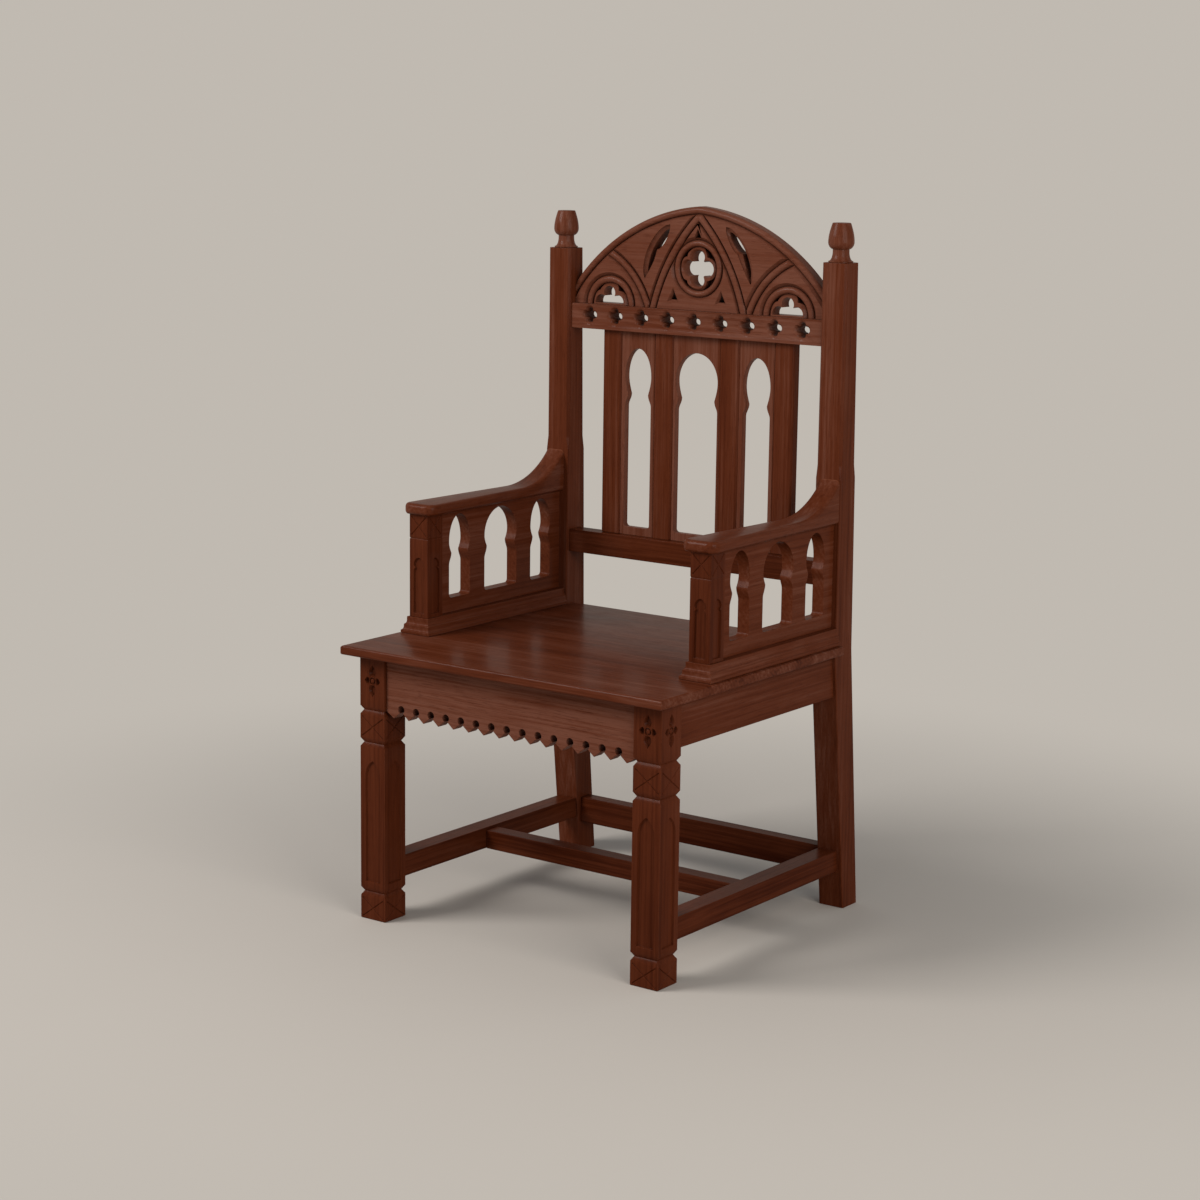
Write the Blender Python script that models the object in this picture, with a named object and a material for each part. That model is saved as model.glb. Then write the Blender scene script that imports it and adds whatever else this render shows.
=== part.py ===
"""Celebrant chair: a joined wooden armchair in the Gothic taste, modelled piece by piece.

Metres, +Z up.  The chair faces -Y, +X is to the right of someone looking at its front, and the
origin lies on the floor under the middle of the whole chair.  Rails are tenoned into the legs and
posts, panels are tongued into grooves, and every joint keeps the clearance FIT.
"""

import math

import bmesh
import bpy
from mathutils import Vector

# Clearance between pieces that touch, and how far a cutter stands past the face it cuts
FIT = 0.0003
CUT_MARGIN = 0.002

# Frame and seat board
FRAME_WIDTH = 0.591
SEAT_HEIGHT = 0.455
SEAT_THICKNESS = 0.015
SEAT_FRONT_OVERHANG = 0.0275
SEAT_SIDE_OVERHANG = 0.0175
SEAT_REAR_REACH = 0.0225
SEAT_EASE = 0.003

# Front legs: blocks are measured to the middle of the grooves that part them
LEG_SIZE = 0.051
LEG_TOP_BLOCK = 0.0915
LEG_CARVED_BLOCK = 0.0535
LEG_FOOT_BLOCK = 0.046
LEG_GROOVE_HEIGHT = 0.014
LEG_GROOVE_DEPTH = 0.0045
LEG_PANEL_WIDTH = 0.031
LEG_PANEL_DEPTH = 0.003
LEG_PANEL_FOOT = 0.010
LEG_PANEL_HEAD = 0.022
CARVED_LINE_WIDTH = 0.0045
CARVED_LINE_DEPTH = 0.0025
CARVED_LINE_INSET = 0.0035
LEG_MOTIF_HEIGHT = 0.050
LEG_MOTIF_WIDTH = 0.026
LEG_MOTIF_ARM = 0.010
LEG_MOTIF_WAIST = 0.0035
LEG_MOTIF_DEPTH = 0.002

# Back posts: upright above the seat, raked below it, thinner towards both ends
POST_SETBACK = 0.4855
POST_WIDTH = 0.046
POST_DEPTH_SEAT = 0.052
POST_DEPTH_TOP = 0.040
POST_DEPTH_FOOT = 0.044
POST_RAKE = 0.0485
POST_ABOVE_FRIEZE = 0.092
POST_CHAMFER = 0.0045
POST_ARRIS = 0.001
POST_CHAMFER_STOP = 0.022

# Turned finials
FINIAL_HEIGHT = 0.062
FINIAL_FOOT_RADIUS = 0.0198
FINIAL_FOOT_EDGE = 0.002
FINIAL_NECK_RADIUS = 0.0125
FINIAL_NECK_RISE = 0.019
FINIAL_BULB_RADIUS = 0.0209
FINIAL_BULB_RISE = 0.038
FINIAL_TOP_RADIUS = 0.0146
FINIAL_TOP_EASE = 0.001
FINIAL_SPIGOT_RADIUS = 0.008
FINIAL_SPIGOT_LENGTH = 0.020
TURNING_SEGMENTS = 20

# Aprons under the seat
APRON_THICKNESS = 0.020
APRON_RECESS = 0.005
FRONT_APRON_DEPTH = 0.098
SIDE_APRON_DEPTH = 0.074
REAR_APRON_RECESS = 0.012
SCALLOP_COUNT = 16
SCALLOP_HOLE_RADIUS = 0.0055
SCALLOP_HOLE_RISE = 0.0155
SCALLOP_NECK = 0.0045

# Stretchers
SIDE_STRETCHER_TOP = 0.100
SIDE_STRETCHER_HEIGHT = 0.036
SIDE_STRETCHER_THICKNESS = 0.035
CROSS_STRETCHER_TOP = 0.0955
CROSS_STRETCHER_HEIGHT = 0.032
CROSS_STRETCHER_THICKNESS = 0.030
CROSS_STRETCHER_SETBACK = 0.2705
REAR_STRETCHER_TOP = 0.0995
REAR_STRETCHER_HEIGHT = 0.0455
REAR_STRETCHER_THICKNESS = 0.026
REAR_STRETCHER_RECESS = 0.011

# Joints
TENON_THICKNESS = 0.009
TENON_SHOULDER = 0.007
TENON_LENGTH = 0.015
TONGUE_THICKNESS = 0.006
TONGUE_DEPTH = 0.005

# Arms, their posts, plinths and panels; a lancet's cusp and shoulder are shares of its height
ARM_HEIGHT = 0.670
ARM_THICKNESS = 0.018
ARM_FRONT_WIDTH = 0.057
ARM_REAR_WIDTH = 0.037
ARM_FRONT_OVERHANG = 0.009
ARM_SWEEP_RUN = 0.116
ARM_SWEEP_RISE = 0.053
ARM_EASE = 0.0025
ARM_CORNER = 0.014
ARM_TENON_SHOULDER = 0.0125
ARM_POST_SIZE = 0.038
ARM_POST_SETBACK = 0.122
ARM_POST_CAP = 0.040
ARM_POST_GROOVE_HEIGHT = 0.007
ARM_POST_GROOVE_DEPTH = 0.00225
ARM_POST_PANEL_WIDTH = 0.023
ARM_POST_PANEL_DEPTH = 0.0025
ARM_POST_PANEL_HEAD = 0.072
ARM_POST_PANEL_FOOT = 0.006
ARM_POST_STUB = 0.018
ARM_POST_STUB_LENGTH = 0.008
PLINTH_HEIGHT = 0.027
PLINTH_FOOT_FLARE = 0.0105
PLINTH_STEP_FLARE = 0.0068
PLINTH_TOP_FLARE = 0.0032
PLINTH_FOOT_EDGE = 0.005
PLINTH_STEP_RISE = 0.0120
PLINTH_STEP_EDGE = 0.003
PLINTH_TOP_EDGE = 0.0055
ARM_PANEL_THICKNESS = 0.021
ARM_LANCET_WIDE = 0.086
ARM_LANCET_NARROW = 0.054
ARM_LANCET_PITCH = 0.1085
ARM_LANCET_FOOT = 0.024
ARM_LANCET_APEX_DROP = 0.008
ARM_LANCET_CUSP = 0.545
ARM_LANCET_SHOULDER = 0.675

# Back: two rails, four stiles and three pierced panels
LOWER_RAIL_TOP = 0.586
LOWER_RAIL_HEIGHT = 0.039
BACK_RAIL_RECESS = 0.0065
BACK_RAIL_THICKNESS = 0.030
FRIEZE_TOP = 0.975
FRIEZE_HEIGHT = 0.0415
FRIEZE_FOIL_COUNT = 9
FRIEZE_FOIL_PITCH = 0.0529
FRIEZE_FOIL_RADIUS = 0.0052
FRIEZE_FOIL_OFFSET = 0.0060
FRIEZE_DISH_SPREAD = 1.40
FRIEZE_DISH_DEPTH = 0.004
STILE_WIDTH = 0.038
STILE_THICKNESS = 0.018
STILE_CHAMFER = 0.003
STILE_RECESS = 0.018
STILE_POST_GAP = 0.0586
STILE_INNER_SHARE = 0.382
STILE_TENON_WIDTH = 0.022
BACK_PANEL_THICKNESS = 0.012
BACK_LANCET_MARGIN_NARROW = 0.0075
BACK_LANCET_MARGIN_WIDE = 0.0045
BACK_LANCET_FOOT = 0.014
BACK_LANCET_APEX_DROP = 0.029
BACK_LANCET_CUSP_DROP = 0.106
BACK_LANCET_SHOULDER_RISE = 0.030
LANCET_CUSP = 0.006
LANCET_CORNER = 0.006
LANCET_CUSP_RUN = 0.020

# Crest: a pointed arch of two arcs that die into the posts, filled with tracery
CREST_RECESS = 0.0165
CREST_THICKNESS = 0.022
CREST_RISE = 0.170
CREST_SHOULDER = 0.0365
CREST_RADIUS = 0.355
CREST_RIM = 0.012
CREST_TENON_HEIGHT = 0.022
CREST_TENON_RISE = 0.007
QUIRK_WIDTH = 0.0036
QUIRK_DEPTH = 0.0030
QUIRK_STEPS = 40
FOIL_SINK = 0.010
GABLE_DROP = 0.0163
GABLE_FOOT = 0.0930
GABLE_BEAD = 0.0135
GABLE_BULGE = 0.0140
ROUNDEL_RISE = 0.0685
ROUNDEL_RADIUS = 0.0415
ROUNDEL_BEAD = 0.011
ROUNDEL_FOIL_RADIUS = 0.0125
ROUNDEL_FOIL_OFFSET = 0.0168
ROUNDEL_FOIL_BORDER = 0.0085
ROUNDEL_DISH_SPREAD = 1.18
ROUNDEL_DISH_DEPTH = 0.004
LUNETTE_INSET = 0.0720
LUNETTE_RADIUS = 0.0430
LUNETTE_BEAD = 0.0125
LUNETTE_SIDE_FOIL_RADIUS = 0.0122
LUNETTE_SIDE_FOIL_REACH = 0.0170
LUNETTE_SIDE_FOIL_RISE = 0.0045
LUNETTE_TOP_FOIL_RADIUS = 0.0117
LUNETTE_TOP_FOIL_RISE = 0.0200
LUNETTE_FOIL_BORDER = 0.0075
LUNETTE_SILL = 0.0025
BAY_APEX_INSET = 0.0600
BAY_APEX_RISE = 0.092
BAY_INNER_INSET = 0.1530
BAY_BULGE = 0.017
BAY_BEAD = 0.0125
DAGGER_TOP_REACH = 0.0600
DAGGER_TOP_DROP = 0.039
DAGGER_FOOT_REACH = 0.1015
DAGGER_FOOT_RISE = 0.0550
DAGGER_WIDTH = 0.015
DAGGER_BEND = 0.0105
DAGGER_FULLNESS = 0.8
DAGGER_FRAME = 0.006
DAGGER_SINK = 0.006
SPANDREL_SIZE = 0.012
SPANDREL_TOP_DROP = 0.0375
SPANDREL_FOOT_REACH = 0.0475
SPANDREL_FOOT_RISE = 0.0155

# Corner blocks and screws
BLOCK_REACH = 0.080
BLOCK_HEIGHT = 0.025
BLOCK_SCREW_INSET = 0.032
SCREW_RADIUS = 0.002
SCREW_HEAD_RADIUS = 0.004
SCREW_HEAD_HEIGHT = 0.0025
SCREW_BITE = 0.009
SCREW_SEGMENTS = 10
ARM_SCREW_INSET = 0.018
ARM_SCREW_FRONT = 0.045
ARM_SCREW_REAR = 0.110

# Places worked out from the sizes above
CHAIR_DEPTH = SEAT_FRONT_OVERHANG + POST_SETBACK + POST_RAKE + POST_DEPTH_FOOT
FRONT_Y = SEAT_FRONT_OVERHANG - CHAIR_DEPTH / 2
POST_Y = FRONT_Y + POST_SETBACK
SIDE_X = FRAME_WIDTH / 2
SEAT_UNDER = SEAT_HEIGHT - SEAT_THICKNESS
POST_BEND = SEAT_UNDER
POST_TOP = FRIEZE_TOP + POST_ABOVE_FRIEZE
POST_INNER = SIDE_X - POST_WIDTH
POST_X = SIDE_X - POST_WIDTH / 2
ARM_X = SIDE_X - ARM_POST_SIZE / 2
ARM_UNDER = ARM_HEIGHT - ARM_THICKNESS
ARM_POST_Y = FRONT_Y + ARM_POST_SETBACK
ARM_POST_BACK = ARM_POST_Y + ARM_POST_SIZE
PLINTH_TOP = SEAT_HEIGHT + FIT + PLINTH_HEIGHT
FRIEZE_UNDER = FRIEZE_TOP - FRIEZE_HEIGHT
BACK_RAIL_YS = (POST_Y + BACK_RAIL_RECESS, POST_Y + BACK_RAIL_RECESS + BACK_RAIL_THICKNESS)
STILE_Y = POST_Y + STILE_RECESS
STILE_MID_Y = STILE_Y + STILE_THICKNESS / 2
CREST_Y = POST_Y + CREST_RECESS
CREST_BACK = CREST_Y + CREST_THICKNESS
CREST_FOOT = FRIEZE_TOP + FIT
CREST_APEX = CREST_FOOT + CREST_RISE
ROUNDEL_WELL = ROUNDEL_RADIUS - ROUNDEL_BEAD / 2
LUNETTE_WELL = LUNETTE_RADIUS - LUNETTE_BEAD / 2
SIDES = (("left", -1), ("right", 1))

# Finish: reddish brown stained hardwood under satin lacquer, plain steel for the screws
WOOD = (0.142, 0.042, 0.022, 1.0)
STEEL = (0.42, 0.41, 0.39, 1.0)


def finish(name, colour, roughness, metallic):
    """One material for one piece."""
    material = bpy.data.materials.new(name + "_finish")
    material.use_nodes = True
    shader = material.node_tree.nodes["Principled BSDF"]
    shader.inputs["Base Color"].default_value = colour
    shader.inputs["Roughness"].default_value = roughness
    shader.inputs["Metallic"].default_value = metallic
    material.diffuse_color = colour
    return material


def piece(name, bm, colour=WOOD, roughness=0.38, metallic=0.0):
    """Turn a bmesh into a named object with a material of its own."""
    bmesh.ops.recalc_face_normals(bm, faces=bm.faces)
    mesh = bpy.data.meshes.new(name)
    bm.to_mesh(mesh)
    bm.free()
    mesh.materials.append(finish(name, colour, roughness, metallic))
    item = bpy.data.objects.new(name, mesh)
    bpy.context.scene.collection.objects.link(item)
    return item


def carve(item, tool, operation="DIFFERENCE", solver="EXACT"):
    """Cut a bmesh out of a piece, or join it on, and keep the result as the piece's mesh."""
    bmesh.ops.recalc_face_normals(tool, faces=tool.faces)
    mesh = bpy.data.meshes.new("tool")
    tool.to_mesh(mesh)
    tool.free()
    cutter = bpy.data.objects.new("tool", mesh)
    cutter.hide_render = True
    cutter.display_type = "WIRE"
    bpy.context.scene.collection.objects.link(cutter)
    modifier = item.modifiers.new("carve", "BOOLEAN")
    modifier.operation = operation
    modifier.solver = solver
    modifier.object = cutter
    bpy.context.view_layer.update()
    evaluated = item.evaluated_get(bpy.context.evaluated_depsgraph_get())
    result = bpy.data.meshes.new_from_object(evaluated)
    result.name = item.name
    item.modifiers.clear()
    item.data = result
    bpy.data.objects.remove(cutter)


def loft(rings, closed=False):
    """Skin a row of equal loops of points; the ends are capped unless the row closes on itself."""
    bm = bmesh.new()
    loops = [[bm.verts.new(point) for point in ring] for ring in rings]
    pairs = list(zip(loops, loops[1:]))
    if closed:
        pairs.append((loops[-1], loops[0]))
    for low, high in pairs:
        for i in range(len(low)):
            j = (i + 1) % len(low)
            bm.faces.new((low[i], low[j], high[j], high[i]))
    if not closed:
        bm.faces.new(loops[0])
        bm.faces.new(loops[-1])
    return bm


def prism(outline, start, end, place, holes=()):
    """Extrude a flat outline with holes; place(u, v, w) puts a point in space, w along the extrusion."""
    bm = bmesh.new()
    edges = []
    for loop in (outline, *holes):
        verts = [bm.verts.new(place(u, v, start)) for u, v in loop]
        for a, b in zip(verts, verts[1:] + verts[:1]):
            edges.append(bm.edges.new((a, b)))
    bmesh.ops.triangle_fill(bm, use_beauty=True, use_dissolve=False, edges=edges)
    made = bmesh.ops.extrude_face_region(bm, geom=bm.faces[:])
    moved = [part for part in made["geom"] if isinstance(part, bmesh.types.BMVert)]
    shift = Vector(place(0, 0, end)) - Vector(place(0, 0, start))
    bmesh.ops.translate(bm, verts=moved, vec=shift)
    return bm


def along_x(u, v, w):
    """Outline in Y and Z, extruded along X."""
    return (w, u, v)


def along_y(u, v, w):
    """Outline in X and Z, extruded along Y."""
    return (u, w, v)


def along_z(u, v, w):
    """Outline in X and Y, extruded along Z."""
    return (u, v, w)


def rectangle(us, vs):
    """Four corners of a rectangle, in order round it."""
    return [(us[0], vs[0]), (us[1], vs[0]), (us[1], vs[1]), (us[0], vs[1])]


def box(xs, ys, zs):
    """A plain box between two corners."""
    return prism(rectangle(sorted(xs), sorted(ys)), min(zs), max(zs), along_z)


def gather(*tools):
    """Put several bmeshes into one, as separate bodies."""
    whole = bmesh.new()
    for tool in tools:
        mesh = bpy.data.meshes.new("gather")
        tool.to_mesh(mesh)
        tool.free()
        whole.from_mesh(mesh)
        bpy.data.meshes.remove(mesh)
    return whole


def turned(profile, centre, segments):
    """Turn a profile of (radius, height) pairs round an upright axis."""
    rings = []
    for radius, height in profile:
        ring = []
        for i in range(segments):
            angle = 2 * math.pi * i / segments
            ring.append((centre[0] + radius * math.cos(angle), centre[1] + radius * math.sin(angle), height))
        rings.append(ring)
    return loft(rings)


def arc(centre, radius, start, end, steps):
    """Points on a circle from one angle to another, in radians, both ends included."""
    points = []
    for i in range(steps + 1):
        angle = start + (end - start) * i / steps
        points.append((centre[0] + radius * math.cos(angle), centre[1] + radius * math.sin(angle)))
    return points


def mirrored(half):
    """Close a right half outline, which runs from foot to head, with its reflection in u = 0."""
    left = [(-u, v) for u, v in reversed(half) if u > FIT / 10]
    return half + left


def shifted(outline, du, dv):
    """An outline moved in its own plane."""
    return [(u + du, v + dv) for u, v in outline]


def offset_path(path, distance, closed=False):
    """Points beside a path, to its left, with mitred corners."""
    count = len(path)
    moved = []
    for i in range(count):
        before = path[i - 1] if closed or i > 0 else None
        after = path[(i + 1) % count] if closed or i < count - 1 else None
        normals = []
        for a, b in ((before, path[i]), (path[i], after)):
            if a is not None and b is not None:
                run = Vector(b) - Vector(a)
                normals.append(Vector((-run.y, run.x)).normalized())
        mean = sum(normals, Vector((0.0, 0.0)))
        mean = mean * (distance * len(normals) / mean.length_squared)
        moved.append((path[i][0] + mean.x, path[i][1] + mean.y))
    return moved


def tenon_zs(zs):
    """Height range of a tenon inside its rail."""
    return (zs[0] + TENON_SHOULDER, zs[1] - TENON_SHOULDER)


def tenon_band(band):
    """Thickness range of a tenon in the middle of its rail."""
    middle = sum(band) / 2
    return (middle - TENON_THICKNESS / 2, middle + TENON_THICKNESS / 2)


def eased(band):
    """A range widened by the clearance on both sides."""
    return (band[0] - FIT, band[1] + FIT)


def post_front(z):
    """Front face of a back post at a height: upright above the bend, raked back below it."""
    return POST_Y + POST_RAKE * max(0.0, POST_BEND - z) / POST_BEND


def post_depth(z):
    """Depth of a back post at a height."""
    if z < POST_BEND:
        return POST_DEPTH_FOOT + (POST_DEPTH_SEAT - POST_DEPTH_FOOT) * z / POST_BEND
    rise = (z - POST_BEND) / (POST_TOP - POST_BEND)
    return POST_DEPTH_SEAT + (POST_DEPTH_TOP - POST_DEPTH_SEAT) * rise


def cross_rail(reach, ys, zs):
    """Rail along X whose shoulders lie at -reach and reach, with a tenon past each."""
    t_ys = tenon_band(ys)
    t_zs = tenon_zs(zs)
    rings = []
    for x, r_ys, r_zs in (
        (-reach - TENON_LENGTH, t_ys, t_zs), (-reach, t_ys, t_zs), (-reach, ys, zs),
        (reach, ys, zs), (reach, t_ys, t_zs), (reach + TENON_LENGTH, t_ys, t_zs),
    ):
        rings.append([(x, y, z) for y, z in rectangle(r_ys, r_zs)])
    return loft(rings)


def cross_mortise(side, face, ys, zs):
    """Cutter for the tenon of a cross rail, sunk into a face that looks inwards."""
    deep = side * (face + TENON_LENGTH + FIT)
    return box((side * (face - CUT_MARGIN), deep), eased(tenon_band(ys)), eased(tenon_zs(zs)))


def side_rail(xs, zs):
    """Rail along Y from the back of a front leg to the raked front of a back post."""
    t_xs = tenon_band(xs)
    t_zs = tenon_zs(zs)
    leg_back = FRONT_Y + LEG_SIZE + FIT
    rings = []
    for shoulder, reach, r_xs, r_zs in (
        (leg_back, -TENON_LENGTH, t_xs, t_zs), (leg_back, 0, t_xs, t_zs), (leg_back, 0, xs, zs),
        (None, 0, xs, zs), (None, 0, t_xs, t_zs), (None, TENON_LENGTH, t_xs, t_zs),
    ):
        ring = []
        for x, z in rectangle(r_xs, r_zs):
            start = post_front(z) - FIT if shoulder is None else shoulder
            ring.append((x, start + reach, z))
        rings.append(ring)
    return loft(rings)


def side_mortises(xs, zs):
    """Cutters for the two tenons of a side rail: into the front leg, and into the back post."""
    t_xs = eased(tenon_band(xs))
    t_zs = eased(tenon_zs(zs))
    leg_back = FRONT_Y + LEG_SIZE
    in_leg = box(t_xs, (leg_back - TENON_LENGTH - FIT, leg_back + CUT_MARGIN), t_zs)
    rings = []
    for reach in (-CUT_MARGIN, TENON_LENGTH + FIT):
        rings.append([(x, post_front(z) + reach, z) for x, z in rectangle(t_xs, t_zs)])
    return in_leg, loft(rings)


def apron_xs(side):
    """Thickness range of a side apron."""
    outer = SIDE_X - APRON_RECESS
    return sorted((side * outer, side * (outer - APRON_THICKNESS)))


def stretcher_xs(side):
    """Thickness range of a side stretcher, in the middle of its leg."""
    middle = SIDE_X - LEG_SIZE / 2
    half = SIDE_STRETCHER_THICKNESS / 2
    return sorted((side * (middle - half), side * (middle + half)))


FRONT_APRON_YS = (FRONT_Y + APRON_RECESS, FRONT_Y + APRON_RECESS + APRON_THICKNESS)
FRONT_APRON_ZS = (SEAT_UNDER - FIT - FRONT_APRON_DEPTH, SEAT_UNDER - FIT)
SIDE_APRON_ZS = (SEAT_UNDER - FIT - SIDE_APRON_DEPTH, SEAT_UNDER - FIT)
REAR_APRON_YS = (POST_Y + REAR_APRON_RECESS, POST_Y + REAR_APRON_RECESS + APRON_THICKNESS)
SIDE_STRETCHER_ZS = (SIDE_STRETCHER_TOP - SIDE_STRETCHER_HEIGHT, SIDE_STRETCHER_TOP)
CROSS_STRETCHER_ZS = (CROSS_STRETCHER_TOP - CROSS_STRETCHER_HEIGHT, CROSS_STRETCHER_TOP)
CROSS_STRETCHER_Y = FRONT_Y + CROSS_STRETCHER_SETBACK
CROSS_STRETCHER_YS = (CROSS_STRETCHER_Y, CROSS_STRETCHER_Y + CROSS_STRETCHER_THICKNESS)
REAR_STRETCHER_ZS = (REAR_STRETCHER_TOP - REAR_STRETCHER_HEIGHT, REAR_STRETCHER_TOP)
REAR_STRETCHER_Y = post_front(REAR_STRETCHER_TOP) + REAR_STRETCHER_RECESS
REAR_STRETCHER_YS = (REAR_STRETCHER_Y, REAR_STRETCHER_Y + REAR_STRETCHER_THICKNESS)
LOWER_RAIL_ZS = (LOWER_RAIL_TOP - LOWER_RAIL_HEIGHT, LOWER_RAIL_TOP)
FRIEZE_ZS = (FRIEZE_UNDER, FRIEZE_TOP)
STRETCHER_INNER = SIDE_X - LEG_SIZE / 2 - SIDE_STRETCHER_THICKNESS / 2
FRONT_TENON_ZS = (SIDE_APRON_ZS[0] + TENON_SHOULDER, SIDE_APRON_ZS[1] - TENON_SHOULDER)


def front_apron_tenon(side, clearance):
    """Tenon of the front apron, above its tongues, or the mortise for it."""
    inner = SIDE_X - LEG_SIZE
    ys = tenon_band(FRONT_APRON_YS)
    xs = (side * (inner - CUT_MARGIN), side * (inner + TENON_LENGTH + clearance))
    return box(
        xs,
        (ys[0] - clearance, ys[1] + clearance),
        (FRONT_TENON_ZS[0] - clearance, FRONT_TENON_ZS[1] + clearance),
    )


def pointed_panel(width, foot, apex):
    """Outline of a sunk lancet: square foot and an equilateral pointed head."""
    half = width / 2
    spring = apex - width * math.sin(math.pi / 3)
    head = arc((-half, spring), width, 0, math.pi / 3, 5)
    head[-1] = (0.0, apex)
    return mirrored([(half, foot)] + head)


def sunk_panels(centre, size, depth, outline, faces):
    """Cutters that sink an outline into chosen faces of an upright square post."""
    half = size / 2
    tools = []
    for dx, dy in faces:
        if dx:
            outside = centre[0] + dx * (half + CUT_MARGIN)
            inside = centre[0] + dx * (half - depth)
            tools.append(prism(shifted(outline, centre[1], 0), outside, inside, along_x))
        else:
            outside = centre[1] + dy * (half + CUT_MARGIN)
            inside = centre[1] + dy * (half - depth)
            tools.append(prism(shifted(outline, centre[0], 0), outside, inside, along_y))
    return tools


def square_stack(centre, levels):
    """Upright square bar from (height, half width) levels."""
    rings = []
    for z, half in levels:
        corners = rectangle((centre[0] - half, centre[0] + half), (centre[1] - half, centre[1] + half))
        rings.append([(x, y, z) for x, y in corners])
    return loft(rings)


def carved_line(start, end, normal):
    """Cutter for a straight V groove between two points of a face."""
    run = (end - start).normalized()
    across = run.cross(normal) * (CARVED_LINE_WIDTH / 2)
    spread = (CARVED_LINE_DEPTH + CUT_MARGIN) / CARVED_LINE_DEPTH
    rings = []
    for point in (start, end):
        out = point + normal * CUT_MARGIN
        rings.append([point - normal * CARVED_LINE_DEPTH, out + across * spread, out - across * spread])
    return loft(rings)


def carve_crossed(item, centre, half, zs, normals):
    """Cut a diagonal cross of two V grooves into chosen faces of a square block."""
    middle = Vector((centre[0], centre[1], sum(zs) / 2))
    for slope in (1, -1):
        tools = []
        for dx, dy in normals:
            normal = Vector((dx, dy, 0))
            along = Vector((-dy, dx, 0)) * (half - CARVED_LINE_INSET)
            up = Vector((0, 0, slope * ((zs[1] - zs[0]) / 2 - CARVED_LINE_INSET)))
            face = middle + normal * half
            tools.append(carved_line(face - along - up, face + along + up, normal))
        carve(item, gather(*tools))


def cross_motif(z):
    """Outline of an upright cross with spreading arms, round a height."""
    tall, wide = LEG_MOTIF_HEIGHT / 2, LEG_MOTIF_WIDTH / 2
    arm_end, waist = LEG_MOTIF_ARM / 2, LEG_MOTIF_WAIST / 2
    half = [(arm_end, -tall), (waist, -waist), (wide, -arm_end)]
    half += [(u, -v) for u, v in reversed(half)]
    return shifted(half + [(-u, v) for u, v in reversed(half)], 0, z)


def front_leg(name, side):
    """Square leg with three V grooves, sunk lancets on the shaft and three mortises."""
    centre = (side * (SIDE_X - LEG_SIZE / 2), FRONT_Y + LEG_SIZE / 2)
    top = SEAT_UNDER - FIT
    upper = SEAT_UNDER - LEG_TOP_BLOCK
    middle = upper - LEG_CARVED_BLOCK
    half = LEG_SIZE / 2
    spread = LEG_GROOVE_HEIGHT / 2
    levels = [(0.0, half)]
    for groove in (LEG_FOOT_BLOCK, middle, upper):
        levels += [(groove - spread, half), (groove, half - LEG_GROOVE_DEPTH), (groove + spread, half)]
    levels.append((top, half))
    leg = piece(name, square_stack(centre, levels))
    foot = LEG_FOOT_BLOCK + spread + LEG_PANEL_FOOT
    lancet = pointed_panel(LEG_PANEL_WIDTH, foot, middle - spread - LEG_PANEL_HEAD)
    tools = sunk_panels(centre, LEG_SIZE, LEG_PANEL_DEPTH, lancet, ((0, -1), (1, 0), (-1, 0)))
    motif = cross_motif((top + upper + spread) / 2)
    tools += sunk_panels(centre, LEG_SIZE, LEG_MOTIF_DEPTH, motif, ((0, -1), (side, 0)))
    tools.append(front_apron_tenon(side, FIT))
    tools.append(side_mortises(apron_xs(side), SIDE_APRON_ZS)[0])
    tools.append(side_mortises(stretcher_xs(side), SIDE_STRETCHER_ZS)[0])
    carve(leg, gather(*tools))
    all_round = ((0, -1), (1, 0), (0, 1), (-1, 0))
    carve_crossed(leg, centre, half, (middle + spread, upper - spread), all_round)
    carve_crossed(leg, centre, half, (0.0, LEG_FOOT_BLOCK - spread), all_round)


def post_ring(side, z, chamfer):
    """Eight corners of a back post's section at a height."""
    xs = sorted((side * SIDE_X, side * POST_INNER))
    ys = (post_front(z), post_front(z) + post_depth(z))
    corners = (
        (xs[0] + chamfer, ys[0]), (xs[1] - chamfer, ys[0]),
        (xs[1], ys[0] + chamfer), (xs[1], ys[1] - chamfer),
        (xs[1] - chamfer, ys[1]), (xs[0] + chamfer, ys[1]),
        (xs[0], ys[1] - chamfer), (xs[0], ys[0] + chamfer),
    )
    return [(x, y, z) for x, y in corners]


def finial_axis(side):
    """Plan position of a finial, over the middle of its post."""
    return (side * POST_X, POST_Y + POST_DEPTH_TOP / 2)


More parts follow.
